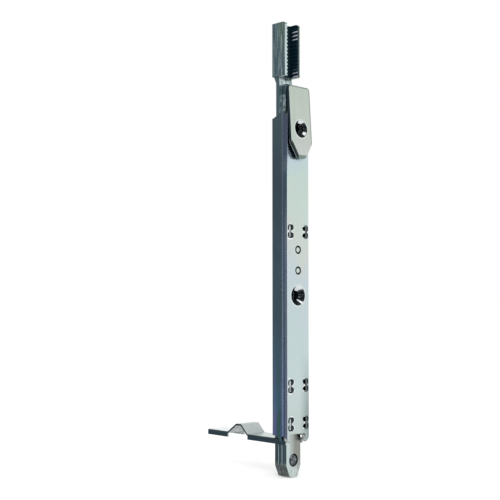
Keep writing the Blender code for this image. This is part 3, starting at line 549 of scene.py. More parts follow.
# Painted shadow on the front under the cover
COVERED_FOOT = COVER_FOOT - 0.002
COVERED_REACH = 0.0045
COVERED_STOPS = ((0.30, 1.0), (0.75, 0.0))
COVER_SHADOW_TONE = (0.015, 0.020, 0.045)
# A painted highlight line down the left side, fading out higher up
SIDE_HIGHLIGHT = (FRONT + 0.0003, FRONT + 0.0012)
SIDE_HIGHLIGHT_FADE = (0.070, 0.045)
SIDE_HIGHLIGHT_CHANGE = (0.010, -0.020)
SIDE_HIGHLIGHT_TONES = ((0.13, 0.17, 0.21), (0.14, 0.15, 0.22))
# Painted shade on the left side, darker again higher up
SIDE_SHADE_TINGE = (0.76, 0.74, 0.86)
SIDE_UPPER_FROM = (0.045, 0.065)
SIDE_UPPER_SHADE_TINGE = (0.72, 0.74, 0.72)
SIDE_TOP_FROM = (FACEPLATE_TOP - 0.030, FACEPLATE_TOP - 0.015)
SIDE_TOP_SHARE = 0.5
SIDE_TOP_SHADE_TONE = (0.09, 0.10, 0.14)
# Legs: a painted reflection from light to grey across the left one's front, painted light on its end,
# and painted glints inside the right one
LEG_TOP = FACEPLATE_FOOT + 0.0046
LEG_ACROSS = (FACEPLATE_SIDE, -0.0050)
LEG_REFLECTION_TONES = ((0.62, 0.70, 0.70), (0.44, 0.46, 0.44))
LEG_END_LEAN = (0.15, 0.50)
LEG_END_LIGHT_TONE = (0.52, 0.58, 0.57)
LEG_GLINTS = (800.0, (0.40, 0.55))
LEG_GLINT_TONES = ((0.22, 0.26, 0.26), (0.90, 0.92, 0.92))
# Painted dark reflection on the upper part of the front left edge
LEFT_EDGE = (FACEPLATE_SIDE + 0.0006, FACEPLATE_SIDE + 0.0003)
LEFT_EDGE_FROM = (0.080, 0.090)
LEFT_EDGE_SHADE_TONE = (0.075, 0.095, 0.14)


def leg_paint(g, colour):
    """Painted reflection in the bolt's tones across the left leg, light on its end, glints in the right.
    """
    legs = g.before("Z", LEG_TOP, NARROW)
    leg_reflection = g.times(legs, g.facing("Y", -1), g.slope("X", *TO_LEFT))
    colour = g.coat(colour, leg_reflection, g.mix(g.slope("X", *LEG_ACROSS), *LEG_REFLECTION_TONES))
    end = g.times(legs, g.facing("Z", -1, LEG_END_LEAN), g.slope("X", *TO_LEFT))
    colour = g.coat(colour, end, LEG_END_LIGHT_TONE, matt=0.85)
    glints = g.patches(*LEG_GLINTS)
    inner = g.times(legs, g.facing("X", -1), g.slope("X", *TO_RIGHT))
    return g.coat(colour, inner, g.mix(glints, *LEG_GLINT_TONES), matt=0.85)


def faceplate_paint(g, colour):
    """Painted light and shade: darker lower right, shadow under the cover, side highlight and shade,
    dark cones.
    """
    front = g.facing("Y", -1)
    height = g.wavering(g.slope("Z", FACEPLATE_FOOT, FACEPLATE_TOP), FILM_DRIFT, distortion=0.5)
    colour = g.mix(g.times(front, FILM_SHARE), colour, g.ramp(height, FILM_ALONG_FACEPLATE))
    # Painted dark reflection: the lower right of the front is darker
    dull = g.times(g.slope("X", *DARK_REFLECTION_ACROSS), g.slope("Z", *DARK_REFLECTION_DOWN), front, DARK_REFLECTION_SHARE)
    colour = g.coat(colour, dull, DARK_REFLECTION_TONE)
    # Painted shadow on the front under the cover, where the gap is narrow
    gap = g.ramp(g.cavity(COVERED_REACH), COVERED_STOPS)
    covered = g.band("Z", COVERED_FOOT, FACEPLATE_TOP, BROAD)
    colour = g.coat(colour, g.times(gap, covered, front), COVER_SHADOW_TONE)
    side = g.facing("X", -1)
    # A painted highlight line down the left side
    line = g.times(g.band("Y", *SIDE_HIGHLIGHT, SOFT), side, g.slope("Z", *SIDE_HIGHLIGHT_FADE))
    side_highlight = g.mix(g.slope("Z", *SIDE_HIGHLIGHT_CHANGE), *SIDE_HIGHLIGHT_TONES)
    colour = g.coat(colour, line, side_highlight, matt=0.7)
    # Painted shade on the left side, darker again higher up
    colour = g.tinge(colour, side, SIDE_SHADE_TINGE)
    colour = g.tinge(colour, g.times(side, g.slope("Z", *SIDE_UPPER_FROM)), SIDE_UPPER_SHADE_TINGE)
    high = g.times(side, g.slope("Z", *SIDE_TOP_FROM), SIDE_TOP_SHARE)
    colour = g.coat(colour, high, SIDE_TOP_SHADE_TONE, matt=0.4)
    colour = staked_highlights(g, leg_paint(g, colour))
    # Painted dark reflection on the upper part of the front left edge
    edge = g.times(g.slope("X", *LEFT_EDGE), g.slope("Z", *LEFT_EDGE_FROM))
    colour = g.coat(colour, edge, LEFT_EDGE_SHADE_TONE, matt=0.6)
    return countersink_paint(g, colour, LOWER_SCREW_HEIGHT, COUNTERSINK_RADIUS, LOWER_WEDGES)


# Cover plate. The lower left edge of its point is a line through POINT_CORNER on the left
# side, and POINT_INWARD looks from that line into the plate.
# Painted shade on the left side
COVER_SIDE_LEAN = (0.35, 0.60)
COVER_SIDE_SHADE_TINGE = (0.16, 0.18, 0.22)
POINT_INWARD = (0.86, 0.52)
POINT_CORNER = COVER_FOOT + 0.0079
POINT_WIDTH = 0.001
POINT_LEFT = (0.0, -0.0005)
POINT_BELOW = (COVER_FOOT + 0.0095, COVER_FOOT + 0.0075)
# Painted shade on the bevel of the point, and a painted highlight line along its back edge
POINT_SHADE_TONE = (0.030, 0.045, 0.040)
POINT_LINE_DEPTH = (COVER_THICKNESS - 0.0005, COVER_THICKNESS - 0.0003)
POINT_HIGHLIGHT_TONE = (0.50, 0.54, 0.62)
COVER_END = COVER_FOOT + 0.0018
COVER_END_TINGE = (0.38, 0.47, 0.43)
WARM_DOWN = (COVER_FOOT + 0.016, COVER_FOOT + 0.006)
WARM_ACROSS = (-0.006, -0.002)
WARM_TINGE = (1.04, 0.97, 1.03)
COVER_RIGHT_EDGE = (-COVER_SIDE - 0.0009, -COVER_SIDE - 0.0003)
COVER_TOP_EDGE = COVER_TOP - 0.0006
COVER_EDGE_TINGE = (0.50, 0.50, 0.52)


def cover_paint(g, colour):
    """Painted shade near black on the sides and the lower left bevel, a painted highlight line, dark
    cone.
    """
    colour = g.tinge(colour, g.facing("X", -1, COVER_SIDE_LEAN), COVER_SIDE_SHADE_TINGE)
    run = g.times(g.minus(g.axis("X"), COVER_SIDE), POINT_INWARD[0])
    drop = g.times(g.minus(g.axis("Z"), POINT_CORNER), POINT_INWARD[1])
    rim = g.within(g.plus(run, drop), -POINT_WIDTH, POINT_WIDTH, HAIR)
    bevel = g.times(rim, g.slope("X", *POINT_LEFT), g.slope("Z", *POINT_BELOW))
    # Painted shade on the bevel
    colour = g.coat(colour, bevel, POINT_SHADE_TONE, matt=0.5)
    # A painted highlight line along the bevel's back edge
    lean = g.times(g.minus(g.axis("Z"), COVER_FOOT), math.tan(COVER_TILT))
    behind = g.minus(g.minus(g.axis("Y"), COVER_FRONT), lean)
    glint = g.times(bevel, g.scale_range(behind, *POINT_LINE_DEPTH))
    colour = g.coat(colour, glint, POINT_HIGHLIGHT_TONE, matt=0.6)
    foot = g.times(g.before("Z", COVER_END, NARROW), g.facing("Y", -1, SLIGHT))
    colour = g.tinge(colour, foot, COVER_END_TINGE)
    warm = g.times(g.slope("Z", *WARM_DOWN), g.slope("X", *WARM_ACROSS))
    colour = g.tinge(colour, warm, WARM_TINGE)
    edge = g.either(g.slope("X", *COVER_RIGHT_EDGE), g.past("Z", COVER_TOP_EDGE, NARROW))
    colour = g.tinge(colour, edge, COVER_EDGE_TINGE)
    return countersink_paint(g, colour, UPPER_SCREW_HEIGHT, COVER_COUNTERSINK_RADIUS, UPPER_WEDGES)


# Guide channel. The bands' colours are (share of its depth from the back, colour).
BANDS_WARM = (
    (0.02, (0.80, 0.95, 0.80)), (0.08, (0.85, 0.85, 0.95)), (0.16, (0.90, 0.80, 1.0)),
    (0.38, (0.75, 0.66, 1.0)), (0.46, (0.40, 0.55, 0.60)), (0.52, (0.32, 0.62, 0.38)),
    (0.67, (0.30, 0.58, 0.36)), (0.72, (0.5, 0.6, 0.7)), (0.90, (0.35, 0.38, 0.75)),
)
BANDS_COOL = (
    (0.02, (0.70, 0.80, 0.80)), (0.20, (0.72, 0.82, 0.95)), (0.45, (0.45, 0.70, 0.75)),
    (0.65, (0.38, 0.64, 0.60)), (0.72, (0.7, 0.8, 0.8)), (0.90, (0.40, 0.46, 0.70)),
)
BANDS_DEPTH = 0.009
BANDS_WAVER = (1.0, 1.0, 35.0)
BANDS_CHANGE = (1.0, 1.0, 55.0)
BANDS_FADE = (0.010, -0.035)
BANDS_SHARE = 0.9
# Painted shade higher up the side
CHANNEL_UPPER_FROM = (0.035, 0.075)
CHANNEL_UPPER_SHADE_TINGE = (0.70, 0.66, 0.70)
# A painted highlight line down the side, stronger lower down
HIGHLIGHT_LINE = (CHANNEL_BACK - 0.0081, CHANNEL_BACK - 0.0073)
HIGHLIGHT_LINE_FROM = (CHANNEL_FOOT, CHANNEL_FOOT + 0.001)
HIGHLIGHT_LINE_SHARE = (0.060, -0.045, 0.25, 0.80)
HIGHLIGHT_LINE_TONE = (0.20, 0.27, 0.42)
# Painted shade inside the channel, on its floor and on its right wall behind the faceplate
CHANNEL_FLOOR = CHANNEL_BACK - 0.0020
CHANNEL_INSIDE_SHADE = (0.008, 0.014, 0.016)
BEHIND_FACEPLATE = (FACEPLATE_BACK, FACEPLATE_BACK + 0.0003)
IN_FACEPLATE = (FACEPLATE_BACK, FACEPLATE_BACK - 0.0003)
# Painted highlights on the left lug ends, and painted shade on the right ones
LUG_GRAIN = (900.0, 900.0, 420.0)
LEFT_LUG_HIGHLIGHT_TONES = ((0.38, 0.42, 0.43), (0.74, 0.78, 0.78))
LUG_OUTER = (-CHANNEL_SIDE - 0.0009, -CHANNEL_SIDE - 0.0003)
RIGHT_LUG_SHADE_TONES = ((0.03, 0.035, 0.04), (0.20, 0.22, 0.22))


def channel_paint(g, colour):
    """Passivation bands along the channel's side; painted shade and highlights there and on its lug
    ends.
    """
    side = g.facing("X", -1)
    # Painted shade higher up the side
    upper = g.times(side, g.slope("Z", *CHANNEL_UPPER_FROM))
    colour = g.tinge(colour, upper, CHANNEL_UPPER_SHADE_TINGE)
    depth = g.over(g.minus(CHANNEL_BACK, g.axis("Y")), BANDS_DEPTH)
    depth = g.wavering(depth, BANDS_WAVER)
    change = g.patches(BANDS_CHANGE, EVEN_SPLIT, detail=0.0)
    bands = g.mix(change, g.ramp(depth, BANDS_WARM), g.ramp(depth, BANDS_COOL))
    colour = g.coat(colour, g.times(side, g.slope("Z", *BANDS_FADE), BANDS_SHARE), bands)
    # A painted highlight line down the side
    line = g.times(g.band("Y", *HIGHLIGHT_LINE, NARROW), g.slope("Z", *HIGHLIGHT_LINE_FROM), side)
    line = g.times(line, g.scale_range(g.axis("Z"), *HIGHLIGHT_LINE_SHARE))
    colour = g.coat(colour, line, HIGHLIGHT_LINE_TONE, matt=0.8)
    # Painted shade inside the channel
    deep = g.times(g.past("Y", CHANNEL_FLOOR, NARROW), g.facing("Y", -1))
    wall = g.times(side, g.slope("X", *TO_RIGHT), g.slope("Y", *BEHIND_FACEPLATE))
    colour = g.coat(colour, g.either(deep, wall), CHANNEL_INSIDE_SHADE, matt=0.6)
    # Painted highlights on the left lug ends, and painted shade on the right ones
    lug = g.slope("Y", *IN_FACEPLATE)
    left = g.slope("X", *LEFT_HALF)
    bright = g.patches(LUG_GRAIN, EVEN_SPLIT)
    colour = g.coat(colour, g.times(lug, left), g.mix(bright, *LEFT_LUG_HIGHLIGHT_TONES))
    right = g.mix(g.slope("X", *LUG_OUTER), *RIGHT_LUG_SHADE_TONES)
    return g.coat(colour, g.times(lug, g.outside_of(left)), right)


# End bracket, with light and shade painted by the way each face looks
PAD_FROM = (BRACKET_BACK - 0.024, BRACKET_BACK - 0.014)
PAD_HIGHLIGHT_TONE = (0.90, 0.92, 0.92)
HUMP_SHADE_TONE = (0.58, 0.62, 0.62)
FLANGE_SHADE_TINGE = (0.50, 0.52, 0.48)
FAR_FLANGE_LIGHT_TONE = (0.55, 0.58, 0.58)
UNDERSIDE_SPECKLES = (600.0, EVEN_SPLIT)
UNDERSIDE_LIGHT_TONES = ((0.30, 0.32, 0.32), (0.70, 0.70, 0.70))


def bracket_paint(g, colour):
    """Painted light and shade: bright on top, near black down the flanges, and grey underneath."""
    top = g.facing("Z", 1, LEANING)
    colour = g.coat(colour, g.times(top, g.slope("Y", *PAD_FROM)), PAD_HIGHLIGHT_TONE)
    colour = g.coat(colour, g.times(top, g.facing("Y", -1, LEANING)), HUMP_SHADE_TONE, matt=0.75)
    side = g.facing("X", -1)
    colour = g.tinge(colour, g.times(side, g.slope("X", *TO_LEFT)), FLANGE_SHADE_TINGE)
    colour = g.coat(colour, g.times(side, g.slope("X", *TO_RIGHT)), FAR_FLANGE_LIGHT_TONE, matt=0.8)
    speckles = g.patches(*UNDERSIDE_SPECKLES, detail=4.0, rough=0.7)
    below = g.mix(speckles, *UNDERSIDE_LIGHT_TONES)
    return g.coat(colour, g.facing("Z", -1, LEANING), below, matt=0.85)


# Bolt bar: above the case, its tip, the front of its first plate and the painted highlight lines
# down the sides of the other two
BLOTCHES = (700.0, 700.0, 300.0)
BLOTCH_STOPS = ((0.36, (0.055, 0.085, 0.095)), (0.52, (0.11, 0.16, 0.17)), (0.62, (0.30, 0.37, 0.39)))
OUT_OF_CASE = CHANNEL_TOP - 0.002
CONNECTOR_SHADE = (CHANNEL_TOP + 0.0085, CHANNEL_TOP + 0.0130)
CONNECTOR_SHADE_SHARE = 0.8
CONNECTOR_SHADE_TONE = (0.025, 0.060, 0.068)
# Darker speckled tones for the left-facing sides near the tip
TIP_GRAIN = (1500.0, 1500.0, 900.0)
TIP_STOPS = ((0.40, 0.0), (0.60, 1.0))
TIP_TONES = ((0.055, 0.062, 0.065), (0.20, 0.22, 0.22))
TIP_FROM = (TIP + 0.0075, TIP + 0.0050)
# Painted reflection: grey over the right of the bolt's front
BAR_RIGHT = (-0.0035, 0.0010)
BAR_RIGHT_FROM = (TIP + 0.003, TIP + 0.009)
BAR_RIGHT_REFLECTION_TONE = (0.30, 0.31, 0.28)
GROUND_FROM = (TIP + 0.0060, TIP + 0.0030)
GROUND_FLECKS = (700.0, (0.50, 0.64))
GROUND_SHARE = 0.6
GROUND_TONE = (0.34, 0.38, 0.36)
CORNER_ACROSS = (0.0016, 0.0036)
CORNER_FROM = (TIP + 0.0075, TIP + 0.0060)
CORNER_SHARE = 0.7
CORNER_TONE = (0.36, 0.37, 0.36)
# Painted shade on the sides of the bolt's plates
BAR_SIDE_SHADE_TINGE = (0.72, 0.74, 0.66)
PLATE_SIDE_SHADE_TINGE = (0.72, 0.70, 0.74)
# A painted highlight line near the front of each plate's side
PLATE_LINE = (0.0003, 0.0007)
PLATE_HIGHLIGHT_TONE = (0.32, 0.43, 0.48)
NOTCH_SHADE_SLOPE = 1.235
NOTCH_SHADE_CORNER = (0.0016, FACEPLATE_FOOT + 0.0041)
NOTCH_SHADE = (FACEPLATE_FOOT + 0.0010, FACEPLATE_FOOT + 0.0080)
NOTCH_SHADE_TONE = (0.010, 0.024, 0.026)
# Painted shade on the front above the case
ABOVE_CASE_SHADE_FROM = (CHANNEL_TOP - 0.001, CHANNEL_TOP)
ABOVE_CASE_SHADE_TONE = (0.05, 0.09, 0.10)


def top_paint(g, colour):
    """The bolt's sides are blotched where they stand above the case."""
    side = g.facing("X", -1, LEANING)
    tone = g.ramp(g.noise(BLOTCHES, detail=4.0, rough=0.65, distortion=0.6), BLOTCH_STOPS)
    colour = g.coat(colour, g.times(g.past("Z", OUT_OF_CASE, BROAD), side), tone, matt=0.7)
    shaded = g.times(g.band("Z", *CONNECTOR_SHADE, SOFT), side, CONNECTOR_SHADE_SHARE)
    return g.coat(colour, shaded, CONNECTOR_SHADE_TONE, matt=0.7)


def tip_paint(g, colour):
    """The left-facing sides near the bolt's end are painted dark with lighter speckles."""
    speckles = g.ramp(g.noise(TIP_GRAIN, detail=4.0, rough=0.7), TIP_STOPS)
    tip_side = g.times(g.slope("Z", *TIP_FROM), g.facing("X", -1, LEANING))
    return g.coat(colour, tip_side, g.mix(speckles, *TIP_TONES), matt=0.7)


def slot_walls(g, colour):
    """The walls of a bolt plate's slots lie in deep shade."""
    wall = g.either(g.facing("X", -1, SLIGHT), g.facing("X", 1, SLIGHT))
    wall = g.times(wall, g.band("X", -SLOT_HALF, SLOT_HALF, NARROW))
    g.deaden(wall)
    return g.coat(colour, wall, NEAR_BLACK, matt=1.0)


def bar_paint(g, colour):
    """The bolt's front has a painted reflection, light on the left and towards the tip, grey on the
    right.
    """
    # Painted reflection: grey on the right
    right = g.times(g.slope("X", *BAR_RIGHT), g.slope("Z", *BAR_RIGHT_FROM))
    colour = g.coat(colour, right, BAR_RIGHT_REFLECTION_TONE)
    flecks = g.patches(*GROUND_FLECKS, detail=4.0, rough=0.7)
    ground = g.times(flecks, g.slope("Z", *GROUND_FROM), g.facing("Y", -1), GROUND_SHARE)
    colour = g.coat(colour, ground, GROUND_TONE)
    corner = g.times(g.slope("X", *CORNER_ACROSS), g.slope("Z", *CORNER_FROM), CORNER_SHARE)
    colour = g.coat(colour, corner, CORNER_TONE)
    # Painted shade on the left side
    colour = g.tinge(colour, g.facing("X", -1), BAR_SIDE_SHADE_TINGE)
    across = g.times(g.minus(g.axis("X"), NOTCH_SHADE_CORNER[0]), NOTCH_SHADE_SLOPE)
    beyond = g.plus(across, g.minus(g.axis("Z"), NOTCH_SHADE_CORNER[1]))
    wedge = g.times(g.scale_range(beyond, 0.0, SOFT), g.facing("Y", -1, LEANING),
                    g.band("Z", *NOTCH_SHADE, NARROW))
    colour = g.coat(colour, wedge, NOTCH_SHADE_TONE, matt=1.0)
    g.deaden(wedge)
    colour = slot_walls(g, colour)
    # Painted shade on the front above the case
    colour = g.coat(colour, g.times(g.slope("Z", *ABOVE_CASE_SHADE_FROM), g.facing("Y", -1)), ABOVE_CASE_SHADE_TONE)
    return tip_paint(g, top_paint(g, colour))


def plate_paint(plate_front):
    """A painted highlight line down each side at a plate's rolled front edge, and painted shade on the
    sides.
    """
    def paint(g, colour):
        line = g.band("Y", plate_front + PLATE_LINE[0], plate_front + PLATE_LINE[1], HAIR)
        side = g.either(g.facing("X", -1), g.facing("X", 1))
        colour = slot_walls(g, g.tinge(colour, side, PLATE_SIDE_SHADE_TINGE))
        colour = g.coat(colour, g.times(line, side), PLATE_HIGHLIGHT_TONE, matt=0.85)
        return tip_paint(g, top_paint(g, colour))
    return paint


# Toothed connector. Its jaw is the serrated channel, and its neck and tongue are below it.
JAW_EDGE = 0.0004
JAW_INSIDE = (CONNECTOR_SIDE + 0.0009, -CONNECTOR_SIDE - 0.0007)
JAW_MOUTH = (CONNECTOR_FRONT + 0.00005, CONNECTOR_FRONT + 0.0002)
# Painted shade inside the jaw, and painted highlights on its rim and teeth
JAW_DEPTH_ACROSS = (-0.0034, 0.0006)
JAW_DEPTH_SHADE_TONES = ((0.110, 0.160, 0.185), (0.006, 0.022, 0.034))
JAW_SHADED_FROM = -0.0010
JAW_SHADED_TONE = (0.012, 0.028, 0.036)
JAW_RIM = CONNECTOR_SIDE + 0.0020
JAW_RIM_HIGHLIGHT_TONE = (0.64, 0.74, 0.78)
TOOTH_SHARE = (0.30, 0.60)
TOOTH_BLUR = 0.08
TOOTH_SIDE = (0.0025, 0.0032)
UPPER_TEETH = (CONNECTOR_TOP - 0.0086, CONNECTOR_TOP - 0.0031)
LOWER_TEETH = (CONNECTOR_FOOT + 0.005, CONNECTOR_FOOT + 0.002)
TOOTH_DEPTH = (CONNECTOR_FRONT + 0.0042, CONNECTOR_FRONT + 0.0028)
TOOTH_HIGHLIGHT_TONE = (0.74, 0.74, 0.84)
LEFT_TEETH = (-0.0036, -0.0043)
LEFT_TEETH_DOTS = ((300.0, 300.0, 900.0), (0.45, 0.55))
LEFT_TEETH_HIGHLIGHT_TONES = ((0.30, 0.36, 0.40), (0.62, 0.70, 0.74))
OUTSIDE = (-0.0030, -0.0040)
SCRATCHES = (1400.0, 1400.0, 70.0)
SCRATCH_DARK = (0.46, 0.38)
SCRATCH_DARK_SHARE = 0.45
SCRATCH_DARK_TINGE = (0.40, 0.42, 0.44)
SCRATCH_LIGHT_STOPS = ((0.54, 0.0), (0.62, 1.0))
SCRATCH_LIGHT_SHARE = 0.6
SCRATCH_LIGHT_TONE = (0.36, 0.42, 0.44)
GREEN_UP = (CONNECTOR_TOP - 0.016, CONNECTOR_TOP - 0.002)
GREEN_FORWARD = (CONNECTOR_FRONT + 0.0055, CONNECTOR_FRONT + 0.0015)
GREEN_TINGE = (1.05, 1.10, 0.80)
# Painted light on the neck's front, and painted shade on the tongue
NECK_GRAIN = (700.0, 700.0, 160.0)
NECK_LEAN = (0.30, 0.60)
NECK_LIGHT_TONES = ((0.34, 0.43, 0.45), (0.66, 0.76, 0.78))
TONGUE_TOP = CHANNEL_TOP + 0.0125
TONGUE_SHADE_TINGE = (0.22, 0.30, 0.32)


def jaw_inside_paint(g, colour, jaw):
    """Painted shade near black between the serrated walls, and painted highlights on its rim and a few
    teeth.
    """
    front = g.facing("Y", -1)
    # Painted shade inside the jaw
    inside = g.times(g.slope("Y", *JAW_MOUTH), jaw, g.band("X", *JAW_INSIDE, NARROW),
                     g.outside_of(g.facing("Y", 1)))
    colour = g.coat(colour, inside, g.mix(g.slope("X", *JAW_DEPTH_ACROSS), *JAW_DEPTH_SHADE_TONES), matt=1.0)
    g.deaden(inside)
    shaded = g.times(g.band("X", JAW_SHADED_FROM, JAW_INSIDE[1], HAIR), jaw, front)
    colour = g.coat(colour, shaded, JAW_SHADED_TONE, matt=1.0)
    g.deaden(shaded)
    # Painted highlights on the rim and teeth
    rim = g.times(g.before("X", JAW_RIM, HAIR), jaw, front)
    colour = g.coat(colour, rim, JAW_RIM_HIGHLIGHT_TONE)
    phase = g.math("FRACT", g.over(g.minus(g.axis("Z"), CONNECTOR_FOOT), TOOTH_PITCH))
    ends = g.either(g.band("Z", *UPPER_TEETH, NARROW), g.slope("Z", *LOWER_TEETH))
    teeth = g.times(g.within(phase, *TOOTH_SHARE, TOOTH_BLUR), g.slope("X", *TOOTH_SIDE), inside,
                    ends, g.slope("Y", *TOOTH_DEPTH))
    colour = g.coat(colour, teeth, TOOTH_HIGHLIGHT_TONE, matt=0.85)
    dots = g.mix(g.patches(*LEFT_TEETH_DOTS), *LEFT_TEETH_HIGHLIGHT_TONES)
    return g.coat(colour, g.times(g.slope("X", *LEFT_TEETH), inside), dots, matt=0.85)


def connector_paint(g, colour):
    """Painted shade in the jaw, a scratched side, painted light on the neck, painted shade on the
    tongue.
    """
    jaw = g.past("Z", CONNECTOR_FOOT, JAW_EDGE)
    colour = jaw_inside_paint(g, colour, jaw)
    outside = g.times(g.facing("X", -1), g.slope("X", *OUTSIDE))
    scratches = g.noise(SCRATCHES, distortion=0.4)
    deeper = g.times(g.scale_range(scratches, *SCRATCH_DARK), outside, jaw, SCRATCH_DARK_SHARE)
    colour = g.tinge(colour, deeper, SCRATCH_DARK_TINGE)
    lighter = g.times(g.ramp(scratches, SCRATCH_LIGHT_STOPS), outside, jaw, SCRATCH_LIGHT_SHARE)
    colour = g.coat(colour, lighter, SCRATCH_LIGHT_TONE, matt=0.7)
    green = g.times(g.slope("Z", *GREEN_UP), g.slope("Y", *GREEN_FORWARD), outside)
    colour = g.tinge(colour, green, GREEN_TINGE)
    neck_patches = g.patches(NECK_GRAIN, EVEN_SPLIT, detail=5.0, rough=0.65, distortion=0.5)
    neck = g.times(g.outside_of(jaw), g.facing("Y", -1, NECK_LEAN))
    colour = g.coat(colour, neck, g.mix(neck_patches, *NECK_LIGHT_TONES))
    tongue = g.times(g.before("Z", TONGUE_TOP, BROAD), g.facing("Y", -1))
    return g.tinge(colour, tongue, TONGUE_SHADE_TINGE)


# Rivets. The ring's places are shares of the head's radius.
FLECKS = 800.0
FLECK_STOPS = ((0.52, 0.0), (0.60, 1.0))
FLECK_SHARE = 0.8
FLECK_TONE = (0.46, 0.48, 0.50)
PITS = (650.0, (0.50, 0.40))
PIT_TINGE = (0.35, 0.36, 0.40)
RING_FROM = (0.58, 0.72)
RING_TONE = (0.05, 0.06, 0.06)


def rivet_paint(g, colour):
    """Hammered steel with bright flecks."""
    flecks = g.ramp(g.noise(FLECKS, detail=4.0, rough=0.7), FLECK_STOPS)
    pits = g.patches(*PITS, detail=3.0, rough=0.6)
    colour = g.tinge(colour, pits, PIT_TINGE)
    return g.mix(g.times(flecks, FLECK_SHARE), colour, FLECK_TONE)


def case_rivet_paint(g, colour):
    """A plated head with a dark ring round its edge."""
    away = g.lesser(*(g.round_hole(height)[0] for height in (CASE_RIVET_HEIGHT, UPPER_RIVET_HEIGHT)))
    ring = g.scale_range(away, CASE_RIVET_REACH * RING_FROM[0], CASE_RIVET_REACH * RING_FROM[1])
    return g.coat(colour, ring, RING_TONE)


pale = zinc("zinc_faceplate", light=(0.66, 0.76, 0.74), dark=(0.61, 0.71, 0.69), film=0.60,
            grain_depth=0.5, paint=faceplate_paint)
cover = zinc("zinc_cover", light=(0.66, 0.71, 0.65), dark=(0.56, 0.62, 0.57), film=0.18,
             grain_depth=0.6, paint=cover_paint)
channel = zinc("zinc_channel", light=(0.47, 0.54, 0.48), dark=(0.38, 0.44, 0.42), film=0.08,
               roughness=(0.14, 0.26), streaky=0.3, paint=channel_paint)
bracket = zinc("zinc_bracket", light=(0.66, 0.70, 0.69), dark=(0.46, 0.52, 0.51), film=0.10,
               along="y", cavity=0.15, paint=bracket_paint)
connector = zinc("zinc_connector", light=(0.46, 0.52, 0.48), dark=(0.28, 0.34, 0.34), film=0.10,
                 cavity=0.55, paint=connector_paint)
bar = zinc("zinc_bar", light=(0.68, 0.76, 0.74), dark=(0.54, 0.62, 0.61), film=0.20, cavity=0.5,
           paint=bar_paint)
middle_bar = zinc("zinc_bar_middle", light=(0.68, 0.76, 0.60), dark=(0.52, 0.60, 0.46), film=0.05,
                  cavity=0.4, paint=plate_paint(MIDDLE_PLATE_FRONT))
rear_bar = zinc("zinc_bar_rear", light=(0.58, 0.66, 0.52), dark=(0.42, 0.50, 0.40), film=0.05,
                cavity=0.4, paint=plate_paint(REAR_PLATE_FRONT))
block = zinc("steel_block", light=(0.12, 0.13, 0.13), dark=(0.07, 0.08, 0.08), film=0.0)
rivet = zinc("steel_rivet", light=(0.13, 0.14, 0.16), dark=(0.06, 0.07, 0.08), film=0.0,
             roughness=(0.30, 0.50), paint=rivet_paint)
case_rivet = zinc("zinc_case_rivet", light=(0.70, 0.78, 0.74), dark=(0.60, 0.68, 0.65), film=0.2,
                  paint=case_rivet_paint)

dress("faceplate", pale)
dress("cover_plate", cover, bevel=0.0002)
dress("guide_channel", channel, bevel=0.00012)
dress("end_bracket", bracket, bevel=0.0, crisp=True)
dress("toothed_connector", connector, bevel=0.00012)
dress("stop_block", block)
dress("bolt_plate_front", bar, bevel=0.0002)
dress("bolt_plate_middle", middle_bar, bevel=0.0003)
dress("bolt_plate_rear", rear_bar, bevel=0.0003)
for name in NODES:
    if name.startswith("case_rivet"):
        dress(name, case_rivet, bevel=0.0)
    elif "rivet" in name:
        dress(name, rivet, bevel=0.0)


def seen_directly(tree):
    """One for rays from the camera, a mirror or a clear material, and zero for lighting rays."""
    path = tree.nodes.new("ShaderNodeLightPath")
    total = path.outputs["Is Camera Ray"]
    for name in ("Is Glossy Ray", "Is Transmission Ray"):
        larger = tree.nodes.new("ShaderNodeMath")
        larger.operation = "MAXIMUM"
        tree.links.new(total, larger.inputs[0])
        tree.links.new(path.outputs[name], larger.inputs[1])
        total = larger.outputs[0]
    return total


def aim(made, place, direction, axis):
    """Put a new object in the scene with one of its axes along a direction."""
    made.location = place
    made.rotation_mode = "QUATERNION"
    made.rotation_quaternion = direction.to_track_quat(axis, "Y")
    bpy.context.scene.collection.objects.link(made)


def mesh_object(name, mesh, material):
    """A new object from a mesh under construction."""
    data = bpy.data.meshes.new(name)
    mesh.to_mesh(data)
    mesh.free()
    data.materials.append(material)
    return bpy.data.objects.new(name, data)


def floor_white():
    """Matt white, lifted to the backdrop's white where it is seen, so the shadow stays."""
    g = Graph("floor_white")
    g.fill(g.shader.inputs["Base Color"], FLOOR_GREY)
    g.fill(g.shader.inputs["Roughness"], FLOOR_ROUGHNESS)
    g.fill(g.shader.inputs["Specular IOR Level"], 0.0)
    g.fill(g.shader.inputs["Emission Color"], WHITE)
    g.link(g.times(seen_directly(g.tree), FLOOR_LIFT), g.shader.inputs["Emission Strength"])
    return g.material


def studio_floor():
    """A wide flat card just under the bolt's tip, which the metal doesn't mirror."""
    mesh = bmesh.new()
    corners = [(-1, -1), (1, -1), (1, 1), (-1, 1)]
    half = FLOOR_SPAN / 2
    mesh.faces.new([mesh.verts.new((x * half, y * half, 0.0)) for x, y in corners])
    card = mesh_object("floor", mesh, floor_white())
    aim(card, (0.0, 0.0, FLOOR_HEIGHT), Vector((0.0, 0.0, 1.0)), "Z")
    card.visible_glossy = False


